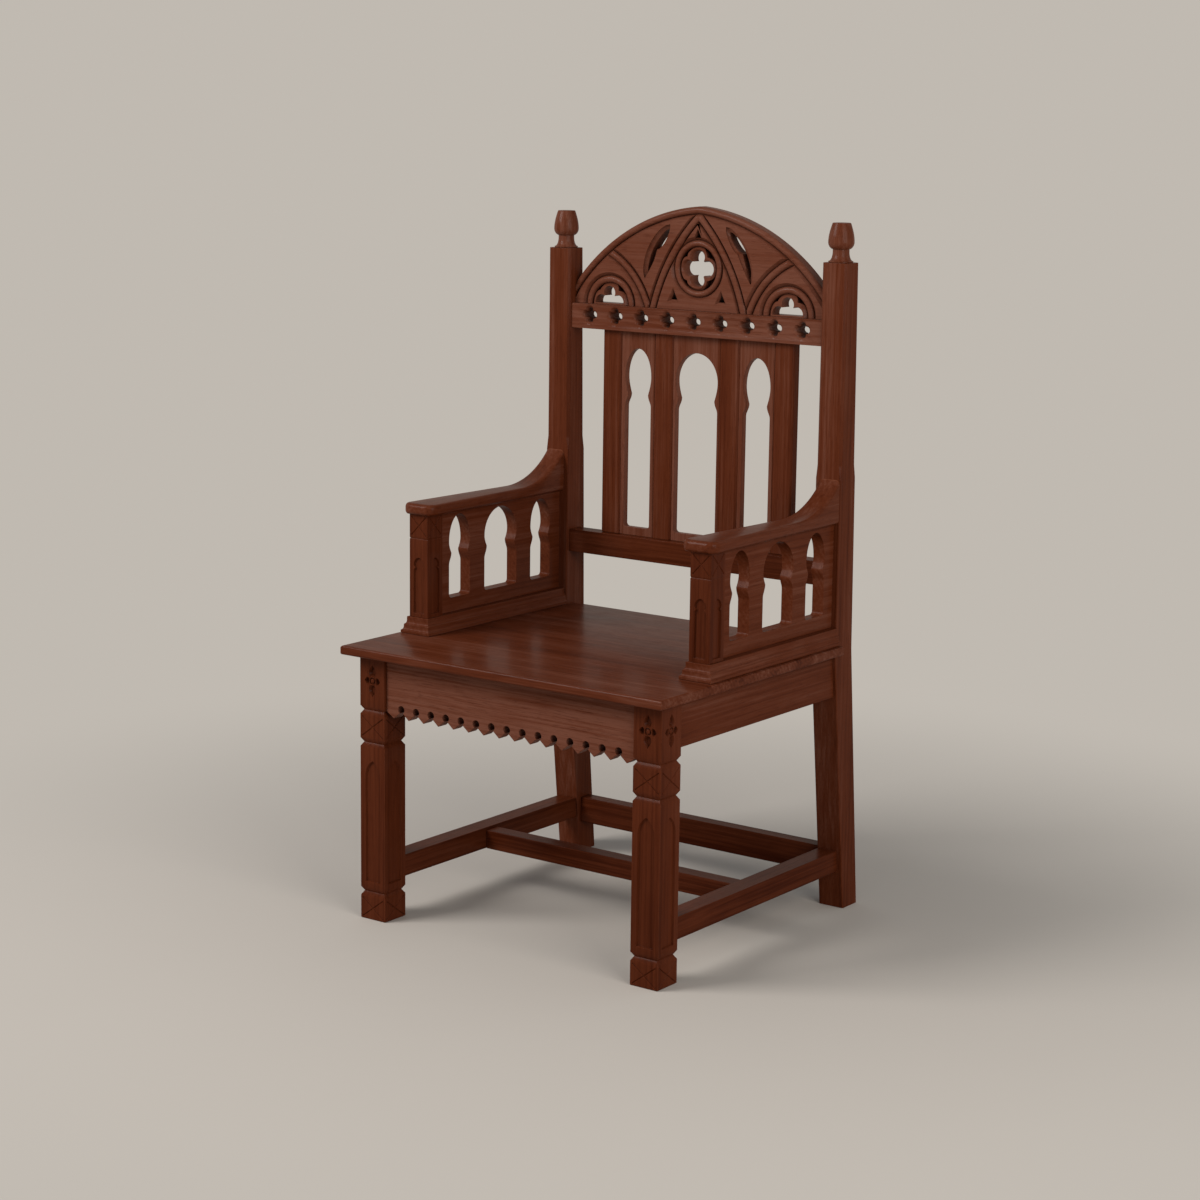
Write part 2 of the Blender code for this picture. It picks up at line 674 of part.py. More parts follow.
def rear_post(name, side):
    """Back post in one length from foot to finial, with the mortises of everything it holds."""
    stop = ARM_HEIGHT + ARM_SWEEP_RISE
    levels = (
        (0.0, POST_ARRIS), (POST_BEND, POST_ARRIS), (stop, POST_ARRIS),
        (stop + POST_CHAMFER_STOP, POST_CHAMFER), (POST_TOP, POST_CHAMFER),
    )
    post = piece(name, loft([post_ring(side, z, chamfer) for z, chamfer in levels]))
    tools = [
        side_mortises(apron_xs(side), SIDE_APRON_ZS)[1],
        side_mortises(stretcher_xs(side), SIDE_STRETCHER_ZS)[1],
        cross_mortise(side, POST_INNER, REAR_APRON_YS, SIDE_APRON_ZS),
        cross_mortise(side, POST_INNER, REAR_STRETCHER_YS, REAR_STRETCHER_ZS),
        cross_mortise(side, POST_INNER, BACK_RAIL_YS, LOWER_RAIL_ZS),
        cross_mortise(side, POST_INNER, BACK_RAIL_YS, FRIEZE_ZS),
        crest_tenon(side, FIT),
        arm_tenon(side, FIT),
    ]
    tongue_xs = panel_tongue_xs(side)
    tongue_zs = (PLINTH_TOP - TONGUE_DEPTH - FIT, ARM_UNDER + TONGUE_DEPTH + FIT)
    tools.append(box(eased(tongue_xs), (POST_Y - CUT_MARGIN, POST_Y + TONGUE_DEPTH + FIT), tongue_zs))
    bore = FINIAL_SPIGOT_RADIUS + FIT
    sink = ((bore, POST_TOP - FINIAL_SPIGOT_LENGTH - FIT), (bore, POST_TOP + CUT_MARGIN))
    tools.append(turned(sink, finial_axis(side), TURNING_SEGMENTS))
    carve(post, gather(*tools))


def finial(name, side):
    """Turned barrel with a flat top over a waisted neck and a spreading foot, on a spigot."""
    foot = POST_TOP + FIT
    profile = [(FINIAL_SPIGOT_RADIUS, POST_TOP - FINIAL_SPIGOT_LENGTH), (FINIAL_SPIGOT_RADIUS, foot)]
    profile.append((FINIAL_FOOT_RADIUS, foot))
    for i in range(5):
        turn = math.pi / 2 * i / 4
        radius = FINIAL_FOOT_RADIUS + (FINIAL_NECK_RADIUS - FINIAL_FOOT_RADIUS) * math.sin(turn)
        rise = FINIAL_FOOT_EDGE + (FINIAL_NECK_RISE - FINIAL_FOOT_EDGE) * (1 - math.cos(turn))
        profile.append((radius, foot + rise))
    for i in range(1, 6):
        share = (1 - math.cos(math.pi * i / 5)) / 2
        radius = FINIAL_NECK_RADIUS + (FINIAL_BULB_RADIUS - FINIAL_NECK_RADIUS) * share
        rise = FINIAL_NECK_RISE + (FINIAL_BULB_RISE - FINIAL_NECK_RISE) * i / 5
        profile.append((radius, foot + rise))
    for i in range(1, 5):
        turn = math.pi / 2 * i / 4
        radius = FINIAL_TOP_RADIUS + (FINIAL_BULB_RADIUS - FINIAL_TOP_RADIUS) * math.cos(turn)
        profile.append((radius, foot + FINIAL_BULB_RISE + (FINIAL_HEIGHT - FINIAL_BULB_RISE) * i / 4))
    profile[-1] = (FINIAL_TOP_RADIUS, foot + FINIAL_HEIGHT - FINIAL_TOP_EASE)
    profile.append((FINIAL_TOP_RADIUS - FINIAL_TOP_EASE, foot + FINIAL_HEIGHT))
    item = piece(name, turned(profile, finial_axis(side), TURNING_SEGMENTS))
    item.data.shade_smooth()
    item.data.set_sharp_from_angle(angle=math.radians(40))


def seat_outline():
    """Plan of the seat board: overhanging in front and at the sides, notched round the posts."""
    wide = SIDE_X + SEAT_SIDE_OVERHANG
    front = FRONT_Y - SEAT_FRONT_OVERHANG
    notch = POST_Y - FIT
    tongue = POST_INNER - FIT
    rear = POST_Y + SEAT_REAR_REACH
    half = [(wide, front), (wide, notch), (tongue, notch), (tongue, rear)]
    return half + [(-x, y) for x, y in reversed(half)]


def block_screw_places():
    """Plan positions of the four corner block screws."""
    near = APRON_RECESS + APRON_THICKNESS
    reach = BLOCK_SCREW_INSET
    places = []
    for _, side in SIDES:
        x = side * (SIDE_X - near - reach)
        places.append((x, FRONT_Y + near + reach))
        places.append((x, REAR_APRON_YS[0] - reach))
    return places


def arm_screw_places():
    """Plan positions of the four plinth screws, inside the side aprons."""
    places = []
    for _, side in SIDES:
        x = side * (ARM_X - ARM_SCREW_INSET)
        places.append((x, ARM_POST_BACK + ARM_SCREW_FRONT))
        places.append((x, POST_Y - ARM_SCREW_REAR))
    return places


def screw(place, seat_face, tip, clearance=0.0):
    """Countersunk screw driven upwards from a face, or the hole for it."""
    head = seat_face - CUT_MARGIN if clearance else seat_face
    profile = [
        (SCREW_HEAD_RADIUS + clearance, head), (SCREW_HEAD_RADIUS + clearance, seat_face + FIT),
        (SCREW_RADIUS + clearance, seat_face + SCREW_HEAD_HEIGHT),
        (SCREW_RADIUS + clearance, tip + clearance),
    ]
    return turned(profile, place, SCREW_SEGMENTS)


def block_screw(place, clearance=0.0):
    """Screw from the underside of a corner block into the seat board."""
    return screw(place, SEAT_UNDER - FIT - BLOCK_HEIGHT, SEAT_UNDER + SCREW_BITE, clearance)


def arm_screw(place, clearance=0.0):
    """Screw from the underside of the seat board into a plinth."""
    return screw(place, SEAT_UNDER, SEAT_HEIGHT + FIT + SCREW_BITE, clearance)


def seat_board():
    """Solid seat with eased edges and the holes of the screws that hold it and the plinths."""
    outline = seat_outline()
    small = offset_path(outline, SEAT_EASE, closed=True)
    rings = []
    for z, loop in (
        (SEAT_UNDER, small), (SEAT_UNDER + SEAT_EASE, outline),
        (SEAT_HEIGHT - SEAT_EASE, outline), (SEAT_HEIGHT, small),
    ):
        rings.append([(x, y, z) for x, y in loop])
    board = piece("seat_board", loft(rings))
    tools = [block_screw(place, FIT) for place in block_screw_places()]
    tools += [arm_screw(place, FIT) for place in arm_screw_places()]
    carve(board, gather(*tools))


def front_apron():
    """Apron whose lower edge is a row of pointed tongues parted by keyholes."""
    reach = SIDE_X - LEG_SIZE - FIT
    pitch = 2 * reach / SCALLOP_COUNT
    low, high = FRONT_APRON_ZS
    hole_z = low + SCALLOP_HOLE_RISE
    half_gap = math.asin(SCALLOP_NECK / 2 / SCALLOP_HOLE_RADIUS)
    outline = [(-reach, high), (-reach, hole_z - SCALLOP_HOLE_RADIUS)]
    for i in range(SCALLOP_COUNT):
        left = -reach + i * pitch
        outline.append((left + pitch / 2, low))
        if i < SCALLOP_COUNT - 1:
            start = -math.pi / 2 - half_gap
            end = start - 2 * math.pi + 2 * half_gap
            outline += arc((left + pitch, hole_z), SCALLOP_HOLE_RADIUS, start, end, 9)
    outline += [(reach, hole_z - SCALLOP_HOLE_RADIUS), (reach, high)]
    apron = piece("front_apron", prism(outline, *FRONT_APRON_YS, along_y))
    for _, side in SIDES:
        carve(apron, front_apron_tenon(side, 0.0), "UNION")


def side_aprons():
    """Plain aprons at the sides and between the posts."""
    for word, side in SIDES:
        piece("side_apron_" + word, side_rail(apron_xs(side), SIDE_APRON_ZS))
    piece("rear_apron", cross_rail(POST_INNER - FIT, REAR_APRON_YS, SIDE_APRON_ZS))


def stretchers():
    """Side, cross and rear stretchers; the cross one is tenoned into the side ones."""
    for word, side in SIDES:
        bar = piece("side_stretcher_" + word, side_rail(stretcher_xs(side), SIDE_STRETCHER_ZS))
        carve(bar, cross_mortise(side, STRETCHER_INNER, CROSS_STRETCHER_YS, CROSS_STRETCHER_ZS))
    piece("cross_stretcher", cross_rail(STRETCHER_INNER - FIT, CROSS_STRETCHER_YS, CROSS_STRETCHER_ZS))
    piece("rear_stretcher", cross_rail(POST_INNER - FIT, REAR_STRETCHER_YS, REAR_STRETCHER_ZS))


def panel_tongue_xs(side):
    """Thickness range of an arm panel's tongue."""
    return (side * ARM_X - TONGUE_THICKNESS / 2, side * ARM_X + TONGUE_THICKNESS / 2)


def arm_tenon(side, clearance):
    """Tenon at the rear end of an arm, or the mortise for it."""
    xs = (side * ARM_X - TENON_THICKNESS / 2 - clearance, side * ARM_X + TENON_THICKNESS / 2 + clearance)
    zs = (ARM_UNDER + ARM_TENON_SHOULDER, ARM_HEIGHT + ARM_SWEEP_RISE - ARM_TENON_SHOULDER)
    zs = (zs[0] - clearance, zs[1] + clearance)
    return box(xs, (POST_Y - CUT_MARGIN, POST_Y + TENON_LENGTH + clearance), zs)


def arm_stub(side, face, up, clearance):
    """Square stub at the head or foot of an arm post, or the mortise for it."""
    half = ARM_POST_STUB / 2 + clearance
    x, y = side * ARM_X, ARM_POST_Y + ARM_POST_SIZE / 2
    zs = (face - up * CUT_MARGIN, face + up * (ARM_POST_STUB_LENGTH + clearance))
    return box((x - half, x + half), (y - half, y + half), zs)


def panel_groove(side, face, up):
    """Groove for the head or foot of an arm panel's tongue."""
    ys = (ARM_POST_BACK - TONGUE_DEPTH - FIT, POST_Y + CUT_MARGIN)
    return box(eased(panel_tongue_xs(side)), ys, (face - up * CUT_MARGIN, face + up * (TONGUE_DEPTH + FIT)))


def arm_plan(side, front, rear):
    """Plan that trims an arm's front corners to rounds."""
    inner = ARM_FRONT_WIDTH / 2 - ARM_CORNER
    half = arc((inner, front + ARM_CORNER), ARM_CORNER, -math.pi / 2, 0, 6)
    half.append((ARM_FRONT_WIDTH / 2, rear + CUT_MARGIN))
    outline = shifted(half + [(-x, y) for x, y in reversed(half)], side * ARM_X, 0)
    return prism(outline, ARM_UNDER - CUT_MARGIN, ARM_HEIGHT + ARM_SWEEP_RISE + CUT_MARGIN, along_z)


def arm(name, side):
    """Flat arm, wider in front, that sweeps up in an arc where it meets the post."""
    front = ARM_POST_Y - ARM_FRONT_OVERHANG
    rear = POST_Y - FIT
    radius = (ARM_SWEEP_RUN ** 2 + ARM_SWEEP_RISE ** 2) / (2 * ARM_SWEEP_RISE)
    start = rear - ARM_SWEEP_RUN
    turn = math.asin(ARM_SWEEP_RUN / radius)
    profile = [(front, ARM_UNDER), (rear, ARM_UNDER)]
    profile += reversed(arc((start, ARM_HEIGHT + radius), radius, -math.pi / 2, turn - math.pi / 2, 10))
    profile.append((front, ARM_HEIGHT))
    small = offset_path(profile, ARM_EASE, closed=True)
    rings = []
    full = (profile, ARM_EASE)
    for share, (loop, inset) in ((-1, (small, 0)), (-1, full), (1, full), (1, (small, 0))):
        ring = []
        for (y, z), (full_y, _) in zip(loop, profile):
            along = (full_y - front) / (rear - front)
            half = (ARM_FRONT_WIDTH + (ARM_REAR_WIDTH - ARM_FRONT_WIDTH) * along) / 2
            ring.append((side * ARM_X + share * (half - inset), rear if full_y == rear else y, z))
        rings.append(ring)
    item = piece(name, loft(rings))
    carve(item, arm_plan(side, front, rear), "INTERSECT")
    carve(item, arm_tenon(side, 0.0), "UNION")
    carve(item, gather(arm_stub(side, ARM_UNDER, 1, FIT), panel_groove(side, ARM_UNDER, 1)))


def arm_post(name, side):
    """Square arm post with a sunk lancet on three faces, a groove for the panel and two stubs."""
    centre = (side * ARM_X, ARM_POST_Y + ARM_POST_SIZE / 2)
    low, high = PLINTH_TOP + FIT, ARM_UNDER - FIT
    half = ARM_POST_SIZE / 2
    spread = ARM_POST_GROOVE_HEIGHT / 2
    groove = ARM_UNDER - ARM_POST_CAP
    levels = [
        (low, half), (groove - spread, half), (groove, half - ARM_POST_GROOVE_DEPTH),
        (groove + spread, half), (high, half),
    ]
    post = piece(name, square_stack(centre, levels))
    for face, up in ((high, 1), (low, -1)):
        carve(post, arm_stub(side, face, up, 0.0), "UNION")
    lancet = pointed_panel(ARM_POST_PANEL_WIDTH, low + ARM_POST_PANEL_FOOT, ARM_UNDER - ARM_POST_PANEL_HEAD)
    faces = ((0, -1), (1, 0), (-1, 0))
    tools = sunk_panels(centre, ARM_POST_SIZE, ARM_POST_PANEL_DEPTH, lancet, faces)
    ys = (ARM_POST_BACK - TONGUE_DEPTH - FIT, ARM_POST_BACK + CUT_MARGIN)
    tools.append(box(eased(panel_tongue_xs(side)), ys, (low - CUT_MARGIN, high + CUT_MARGIN)))
    carve(post, gather(*tools))
    carve_crossed(post, centre, half, (groove + spread, high), faces)


def cove(start, low, end, high, steps):
    """Quarter hollow of a moulding, as (flare, rise) pairs from its foot to its head."""
    points = []
    for i in range(steps + 1):
        turn = math.pi / 2 * i / steps
        points.append((start + (end - start) * math.sin(turn), low + (high - low) * (1 - math.cos(turn))))
    return points


def plinth(name, side):
    """Moulded plinth on the seat that carries an arm post and its panel."""
    low = SEAT_HEIGHT + FIT
    profile = [(PLINTH_FOOT_FLARE, 0.0)]
    step_top = PLINTH_STEP_RISE + PLINTH_STEP_EDGE
    profile += cove(PLINTH_FOOT_FLARE, PLINTH_FOOT_EDGE, PLINTH_STEP_FLARE, PLINTH_STEP_RISE, 4)
    profile += cove(PLINTH_STEP_FLARE, step_top, PLINTH_TOP_FLARE, PLINTH_HEIGHT - PLINTH_TOP_EDGE, 4)
    profile.append((PLINTH_TOP_FLARE, PLINTH_HEIGHT))
    rings = []
    for flare, rise in profile:
        half = ARM_POST_SIZE / 2 + flare
        corners = rectangle((side * ARM_X - half, side * ARM_X + half), (ARM_POST_Y - flare, POST_Y - FIT))
        rings.append([(x, y, low + rise) for x, y in corners])
    base = piece(name, loft(rings))
    tools = [arm_stub(side, PLINTH_TOP, -1, FIT), panel_groove(side, PLINTH_TOP, -1)]
    tools += [arm_screw(place, FIT) for place in arm_screw_places() if place[0] * side > 0]
    carve(base, gather(*tools))


def lancet_outline(width, foot, apex, cusp, shoulder, pointed):
    """Cusped lancet: straight foot with rounded corners, a nib on each side, and a lobed head."""
    half = width / 2
    points = arc((half - LANCET_CORNER, foot + LANCET_CORNER), LANCET_CORNER, -math.pi / 2, 0, 3)
    for i in range(4):
        inset = LANCET_CUSP * (1 - math.cos(math.pi / 2 * math.sin(math.pi / 2 * i / 4)))
        points.append((half - inset, cusp - LANCET_CUSP_RUN * (1 - i / 4)))
    for i in range(4):
        inset = LANCET_CUSP * (1 - math.sin(math.pi / 2 * i / 4))
        points.append((half - inset, cusp + (shoulder - cusp) * i / 4))
    head = apex - shoulder
    if pointed:
        radius = (half ** 2 + head ** 2) / (2 * half)
        points += arc((half - radius, shoulder), radius, 0, math.asin(head / radius), 7)
    else:
        for i in range(9):
            angle = math.pi / 2 * i / 8
            points.append((half * math.cos(angle), shoulder + head * math.sin(angle)))
    points[-1] = (0.0, apex)
    return mirrored(points)


def arm_panel(name, side):
    """Thick panel pierced with three cusped lancets and tongued on all four edges."""
    ys = (ARM_POST_BACK + FIT, POST_Y - FIT)
    zs = (PLINTH_TOP + FIT, ARM_UNDER - FIT)
    half = ARM_PANEL_THICKNESS / 2
    panel = piece(name, box((side * ARM_X - half, side * ARM_X + half), ys, zs))
    deep_ys = (ys[0] - TONGUE_DEPTH, ys[1] + TONGUE_DEPTH)
    deep_zs = (zs[0] - TONGUE_DEPTH, zs[1] + TONGUE_DEPTH)
    carve(panel, box(panel_tongue_xs(side), deep_ys, deep_zs), "UNION")
    foot, apex = PLINTH_TOP + ARM_LANCET_FOOT, ARM_UNDER - ARM_LANCET_APEX_DROP
    cusp = foot + (apex - foot) * ARM_LANCET_CUSP
    shoulder = foot + (apex - foot) * ARM_LANCET_SHOULDER
    tools = []
    for step, width in ((-1, ARM_LANCET_NARROW), (0, ARM_LANCET_WIDE), (1, ARM_LANCET_NARROW)):
        outline = lancet_outline(width, foot, apex, cusp, shoulder, True)
        centre = sum(ys) / 2 + step * ARM_LANCET_PITCH
        reach = half + CUT_MARGIN
        tools.append(prism(shifted(outline, centre, 0), side * ARM_X - reach, side * ARM_X + reach, along_x))
    carve(panel, gather(*tools))


def stile_tenon(x, face, up, clearance):
    """Tenon at the head or foot of a back stile, or the mortise for it."""
    half = STILE_TENON_WIDTH / 2 + clearance
    ys = (STILE_MID_Y - TENON_THICKNESS / 2 - clearance, STILE_MID_Y + TENON_THICKNESS / 2 + clearance)
    return box((x - half, x + half), ys, (face - up * CUT_MARGIN, face + up * (TENON_LENGTH + clearance)))


STILE_OUTER = POST_INNER - STILE_POST_GAP - STILE_WIDTH / 2
STILE_INNER = STILE_OUTER * STILE_INNER_SHARE
STILE_CENTRES = (-STILE_OUTER, -STILE_INNER, STILE_INNER, STILE_OUTER)
BACK_TONGUE_YS = (STILE_MID_Y - TONGUE_THICKNESS / 2, STILE_MID_Y + TONGUE_THICKNESS / 2)


def back_bays():
    """The three bays between the stiles: name, left and right edge, margin beside the lancet."""
    half = STILE_WIDTH / 2
    margins = (BACK_LANCET_MARGIN_NARROW, BACK_LANCET_MARGIN_WIDE, BACK_LANCET_MARGIN_NARROW)
    bays = []
    for i, word in enumerate(("left", "centre", "right")):
        bays.append((word, STILE_CENTRES[i] + half, STILE_CENTRES[i + 1] - half, margins[i]))
    return bays


def back_rail_tools(face, up):
    """Mortises and grooves that the stiles and panels need in a rail of the back."""
    tools = [stile_tenon(x, face, up, FIT) for x in STILE_CENTRES]
    for _, left, right, _ in back_bays():
        zs = (face - up * CUT_MARGIN, face + up * (TONGUE_DEPTH + FIT))
        xs = (left - TONGUE_DEPTH - FIT, right + TONGUE_DEPTH + FIT)
        tools.append(box(xs, eased(BACK_TONGUE_YS), zs))
    return tools


def foiled(centre, radius, offset, steps):
    """Quatrefoil outline: four round lobes that meet in cusps."""
    meet = (offset + math.sqrt(2 * radius ** 2 - offset ** 2)) / 2
    spread = math.atan2(meet, meet - offset)
    outline = []
    for quarter in range(4):
        turn = quarter * math.pi / 2
        lobe = (centre[0] + offset * math.cos(turn), centre[1] + offset * math.sin(turn))
        outline += arc(lobe, radius, turn - spread, turn + spread, steps)[:-1]
    return outline


def dish(outline, centre, spread, face, depth):
    """Cutter that opens an outline out towards a front face, like a chamfer."""
    rings = []
    for share, y in ((spread, face - CUT_MARGIN), (spread, face), (1.0, face + depth)):
        ring = []
        for u, v in outline:
            ring.append((centre[0] + (u - centre[0]) * share, y, centre[1] + (v - centre[1]) * share))
        rings.append(ring)
    return loft(rings)


def back_rails():
    """Lower rail and frieze, the frieze pierced with a row of quatrefoils."""
    lower = piece("lower_back_rail", cross_rail(POST_INNER - FIT, BACK_RAIL_YS, LOWER_RAIL_ZS))
    carve(lower, gather(*back_rail_tools(LOWER_RAIL_TOP, -1)))
    frieze = piece("frieze_rail", cross_rail(POST_INNER - FIT, BACK_RAIL_YS, FRIEZE_ZS))
    tools = back_rail_tools(FRIEZE_UNDER, 1)
    first = -FRIEZE_FOIL_PITCH * (FRIEZE_FOIL_COUNT - 1) / 2
    through = (BACK_RAIL_YS[0] - CUT_MARGIN, BACK_RAIL_YS[1] + CUT_MARGIN)
    middle = (FRIEZE_UNDER + TONGUE_DEPTH + FRIEZE_TOP) / 2
    dishes = []
    for i in range(FRIEZE_FOIL_COUNT):
        centre = (first + i * FRIEZE_FOIL_PITCH, middle)
        outline = foiled(centre, FRIEZE_FOIL_RADIUS, FRIEZE_FOIL_OFFSET, 5)
        tools.append(prism(outline, *through, along_y))
        dishes.append(dish(outline, centre, FRIEZE_DISH_SPREAD, BACK_RAIL_YS[0], FRIEZE_DISH_DEPTH))
    carve(frieze, gather(*tools))
    carve(frieze, gather(*dishes))


def back_stiles():
    """Chamfered stiles, tenoned into both rails and grooved for the panels beside them."""
    half = STILE_WIDTH / 2
    back = STILE_Y + STILE_THICKNESS
    low, high = LOWER_RAIL_TOP + FIT, FRIEZE_UNDER - FIT
    for i, x in enumerate(STILE_CENTRES):
        section = [
            (x - half + STILE_CHAMFER, STILE_Y), (x + half - STILE_CHAMFER, STILE_Y),
            (x + half, STILE_Y + STILE_CHAMFER), (x + half, back),
            (x - half, back), (x - half, STILE_Y + STILE_CHAMFER),
        ]
        stile = piece("back_stile_%d" % (i + 1), prism(section, low, high, along_z))
        for face, up in ((high, 1), (low, -1)):
            carve(stile, stile_tenon(x, face, up, 0.0), "UNION")
        tools = []
        for _, left, right, _ in back_bays():
            for edge, way in ((left, -1), (right, 1)):
                if abs(edge - x) < STILE_WIDTH:
                    xs = (edge - way * CUT_MARGIN, edge + way * (TONGUE_DEPTH + FIT))
                    zs = (low - CUT_MARGIN, high + CUT_MARGIN)
                    tools.append(box(xs, eased(BACK_TONGUE_YS), zs))
        carve(stile, gather(*tools))


def back_panels():
    """Panels between the stiles, each pierced with one tall cusped lancet."""
    ys = (STILE_MID_Y - BACK_PANEL_THICKNESS / 2, STILE_MID_Y + BACK_PANEL_THICKNESS / 2)
    zs = (LOWER_RAIL_TOP + FIT, FRIEZE_UNDER - FIT)
    deep_zs = (zs[0] - TONGUE_DEPTH, zs[1] + TONGUE_DEPTH)
    cusp = FRIEZE_UNDER - BACK_LANCET_CUSP_DROP
    for word, left, right, margin in back_bays():
        panel = piece("back_panel_" + word, box((left + FIT, right - FIT), ys, zs))
        tongue_xs = (left + FIT - TONGUE_DEPTH, right - FIT + TONGUE_DEPTH)
        carve(panel, box(tongue_xs, BACK_TONGUE_YS, deep_zs), "UNION")
        foot, apex = LOWER_RAIL_TOP + BACK_LANCET_FOOT, FRIEZE_UNDER - BACK_LANCET_APEX_DROP
        shoulder = cusp + BACK_LANCET_SHOULDER_RISE
        outline = lancet_outline(right - left - 2 * margin, foot, apex, cusp, shoulder, False)
        opening = shifted(outline, (left + right) / 2, 0)
        carve(panel, prism(opening, ys[0] - CUT_MARGIN, ys[1] + CUT_MARGIN, along_y))


def crest_centre():
    """Centre of the arc that makes the right half of the crest's pointed arch."""
    shoulder = Vector((POST_INNER, CREST_FOOT + CREST_SHOULDER))
    apex = Vector((0.0, CREST_APEX))
    chord = apex - shoulder
    middle = (apex + shoulder) / 2
    across = Vector((chord.y, -chord.x)).normalized()
    if across.y > 0:
        across = -across
    return middle + across * math.sqrt(CREST_RADIUS ** 2 - chord.length_squared / 4)


def crest_arc(inset, reach, steps):
    """Right half of the crest's pointed arch, from the post up to the apex, set in by a distance."""
    centre = crest_centre()
    radius = CREST_RADIUS - inset
    first = math.acos((reach - centre.x) / radius)
    last = math.acos(-centre.x / radius)
    return arc(centre, radius, first, last, steps)


def crest_tenon(side, clearance):
    """Tenon at the side of the crest, or the mortise for it."""
    middle = (CREST_Y + CREST_BACK) / 2
    ys = (middle - TENON_THICKNESS / 2 - clearance, middle + TENON_THICKNESS / 2 + clearance)
    low = CREST_FOOT + CREST_TENON_RISE
    zs = (low - clearance, low + CREST_TENON_HEIGHT + clearance)
    return box((side * (POST_INNER - CUT_MARGIN), side * (POST_INNER + TENON_LENGTH + clearance)), ys, zs)


def quirk(path, closed=False):
    """Cutter for a V-shaped line sunk into the face of the crest along a path in X and Z."""
    spread = QUIRK_WIDTH / 2 * (QUIRK_DEPTH + CUT_MARGIN) / QUIRK_DEPTH
    over = CREST_Y - CUT_MARGIN
    edges = (
        (offset_path(path, spread, closed), over), (path, CREST_Y + QUIRK_DEPTH),
        (offset_path(path, -spread, closed), over),
    )
    rings = []
    for i in range(len(path)):
        rings.append([(line[i][0], y, line[i][1]) for line, y in edges])
    return loft(rings, closed)


def up_to_rim(path):
    """A path that starts under the rim, cut off where it meets the rim's quirk."""
    centre = crest_centre()
    gaps = [CREST_RADIUS - CREST_RIM - (Vector((abs(x), z)) - centre).length for x, z in path]
    return cut_off(path, gaps)


def cut_off(path, gaps):
    """The start of a path, up to where the gap from its points to some limit comes down to nothing."""
    count = next((i for i, gap in enumerate(gaps) if gap <= 0), len(path))
    if count == len(path):
        return path
    share = gaps[count - 1] / (gaps[count - 1] - gaps[count])
    end = Vector(path[count - 1]).lerp(Vector(path[count]), share)
    return path[:count] + [(end.x, end.y)]


def bend(start, end, bulge, steps):
    """Gentle curve between two points, bulging to the left of its run."""
    run = Vector(end) - Vector(start)
    side = Vector((-run.y, run.x)).normalized()
    points = []
    for i in range(steps + 1):
        t = i / steps
        point = Vector(start) + run * t + side * (bulge * 4 * t * (1 - t))
        points.append((point.x, point.y))
    return points


def crest_outline():
    """Front outline of the crest: pointed arch, upright sides against the posts, flat foot."""
    reach = POST_INNER - FIT
    half = [(reach, CREST_FOOT)] + crest_arc(0.0, reach, 16)
    half[-1] = (0.0, CREST_APEX)
    return mirrored(half)


def crest_quirks():
    """Quirks beside the flush beads: rim, gable, roundel, and at each side a bay with a lunette under it."""
    rim = crest_arc(CREST_RIM, POST_INNER + CREST_RIM, 20)
    rim[-1] = (0.0, rim[-1][1])
    below = CREST_FOOT - CREST_RIM
    gable = bend((GABLE_FOOT, below), (0.0, CREST_APEX - GABLE_DROP), -GABLE_BULGE, QUIRK_STEPS)
    inside = offset_path(gable, GABLE_BEAD / 2)
    inside = cut_off(inside, [x for x, _ in inside])
    lines = [quirk(half + [(-x, z) for x, z in reversed(half[:-1])]) for half in (rim, inside)]
    for way in (-1, 1):
        radius = ROUNDEL_RADIUS + way * ROUNDEL_BEAD / 2
        lines.append(quirk(arc((0, CREST_FOOT + ROUNDEL_RISE), radius, 0, 2 * math.pi, 28)[:-1], closed=True))
    outside = up_to_rim(offset_path(gable, -GABLE_BEAD / 2))
    dip = LUNETTE_BEAD / LUNETTE_RADIUS
    for _, side in SIDES:
        lines.append(quirk([(side * x, z) for x, z in outside]))
        middle = side * (POST_INNER - LUNETTE_INSET)
        apex = (side * (POST_INNER - BAY_APEX_INSET), CREST_FOOT + BAY_APEX_RISE)
        inner = (side * (POST_INNER - BAY_INNER_INSET), below)
        shank = bend(inner, apex, side * BAY_BULGE, QUIRK_STEPS)
        for way in (-1, 1):
            lines.append(quirk(up_to_rim(offset_path(shank, way * BAY_BEAD / 2))))
            radius = LUNETTE_RADIUS + way * LUNETTE_BEAD / 2
            lines.append(quirk(arc((middle, CREST_FOOT), radius, -dip, math.pi + dip, 16)))
    return lines


def crossings(a, ra, b, rb):
    """The two points where two circles cross: left, then right, of the way from the first centre."""
    gap = Vector(b) - Vector(a)
    along = (gap.length_squared + ra ** 2 - rb ** 2) / (2 * gap.length)
    rise = math.sqrt(ra ** 2 - along ** 2)
    unit = gap.normalized()
    base = Vector(a) + unit * along
    left = Vector((-unit.y, unit.x)) * rise
    return base + left, base - left


def arc_between(centre, start, end, steps):
    """Points on a circle from one point to another, the short way round."""
    first = math.atan2(start[1] - centre[1], start[0] - centre[0])
    last = math.atan2(end[1] - centre[1], end[0] - centre[0])
    turn = (last - first + math.pi) % (2 * math.pi) - math.pi
    return arc(centre, (Vector(start) - Vector(centre)).length, first, first + turn, steps)


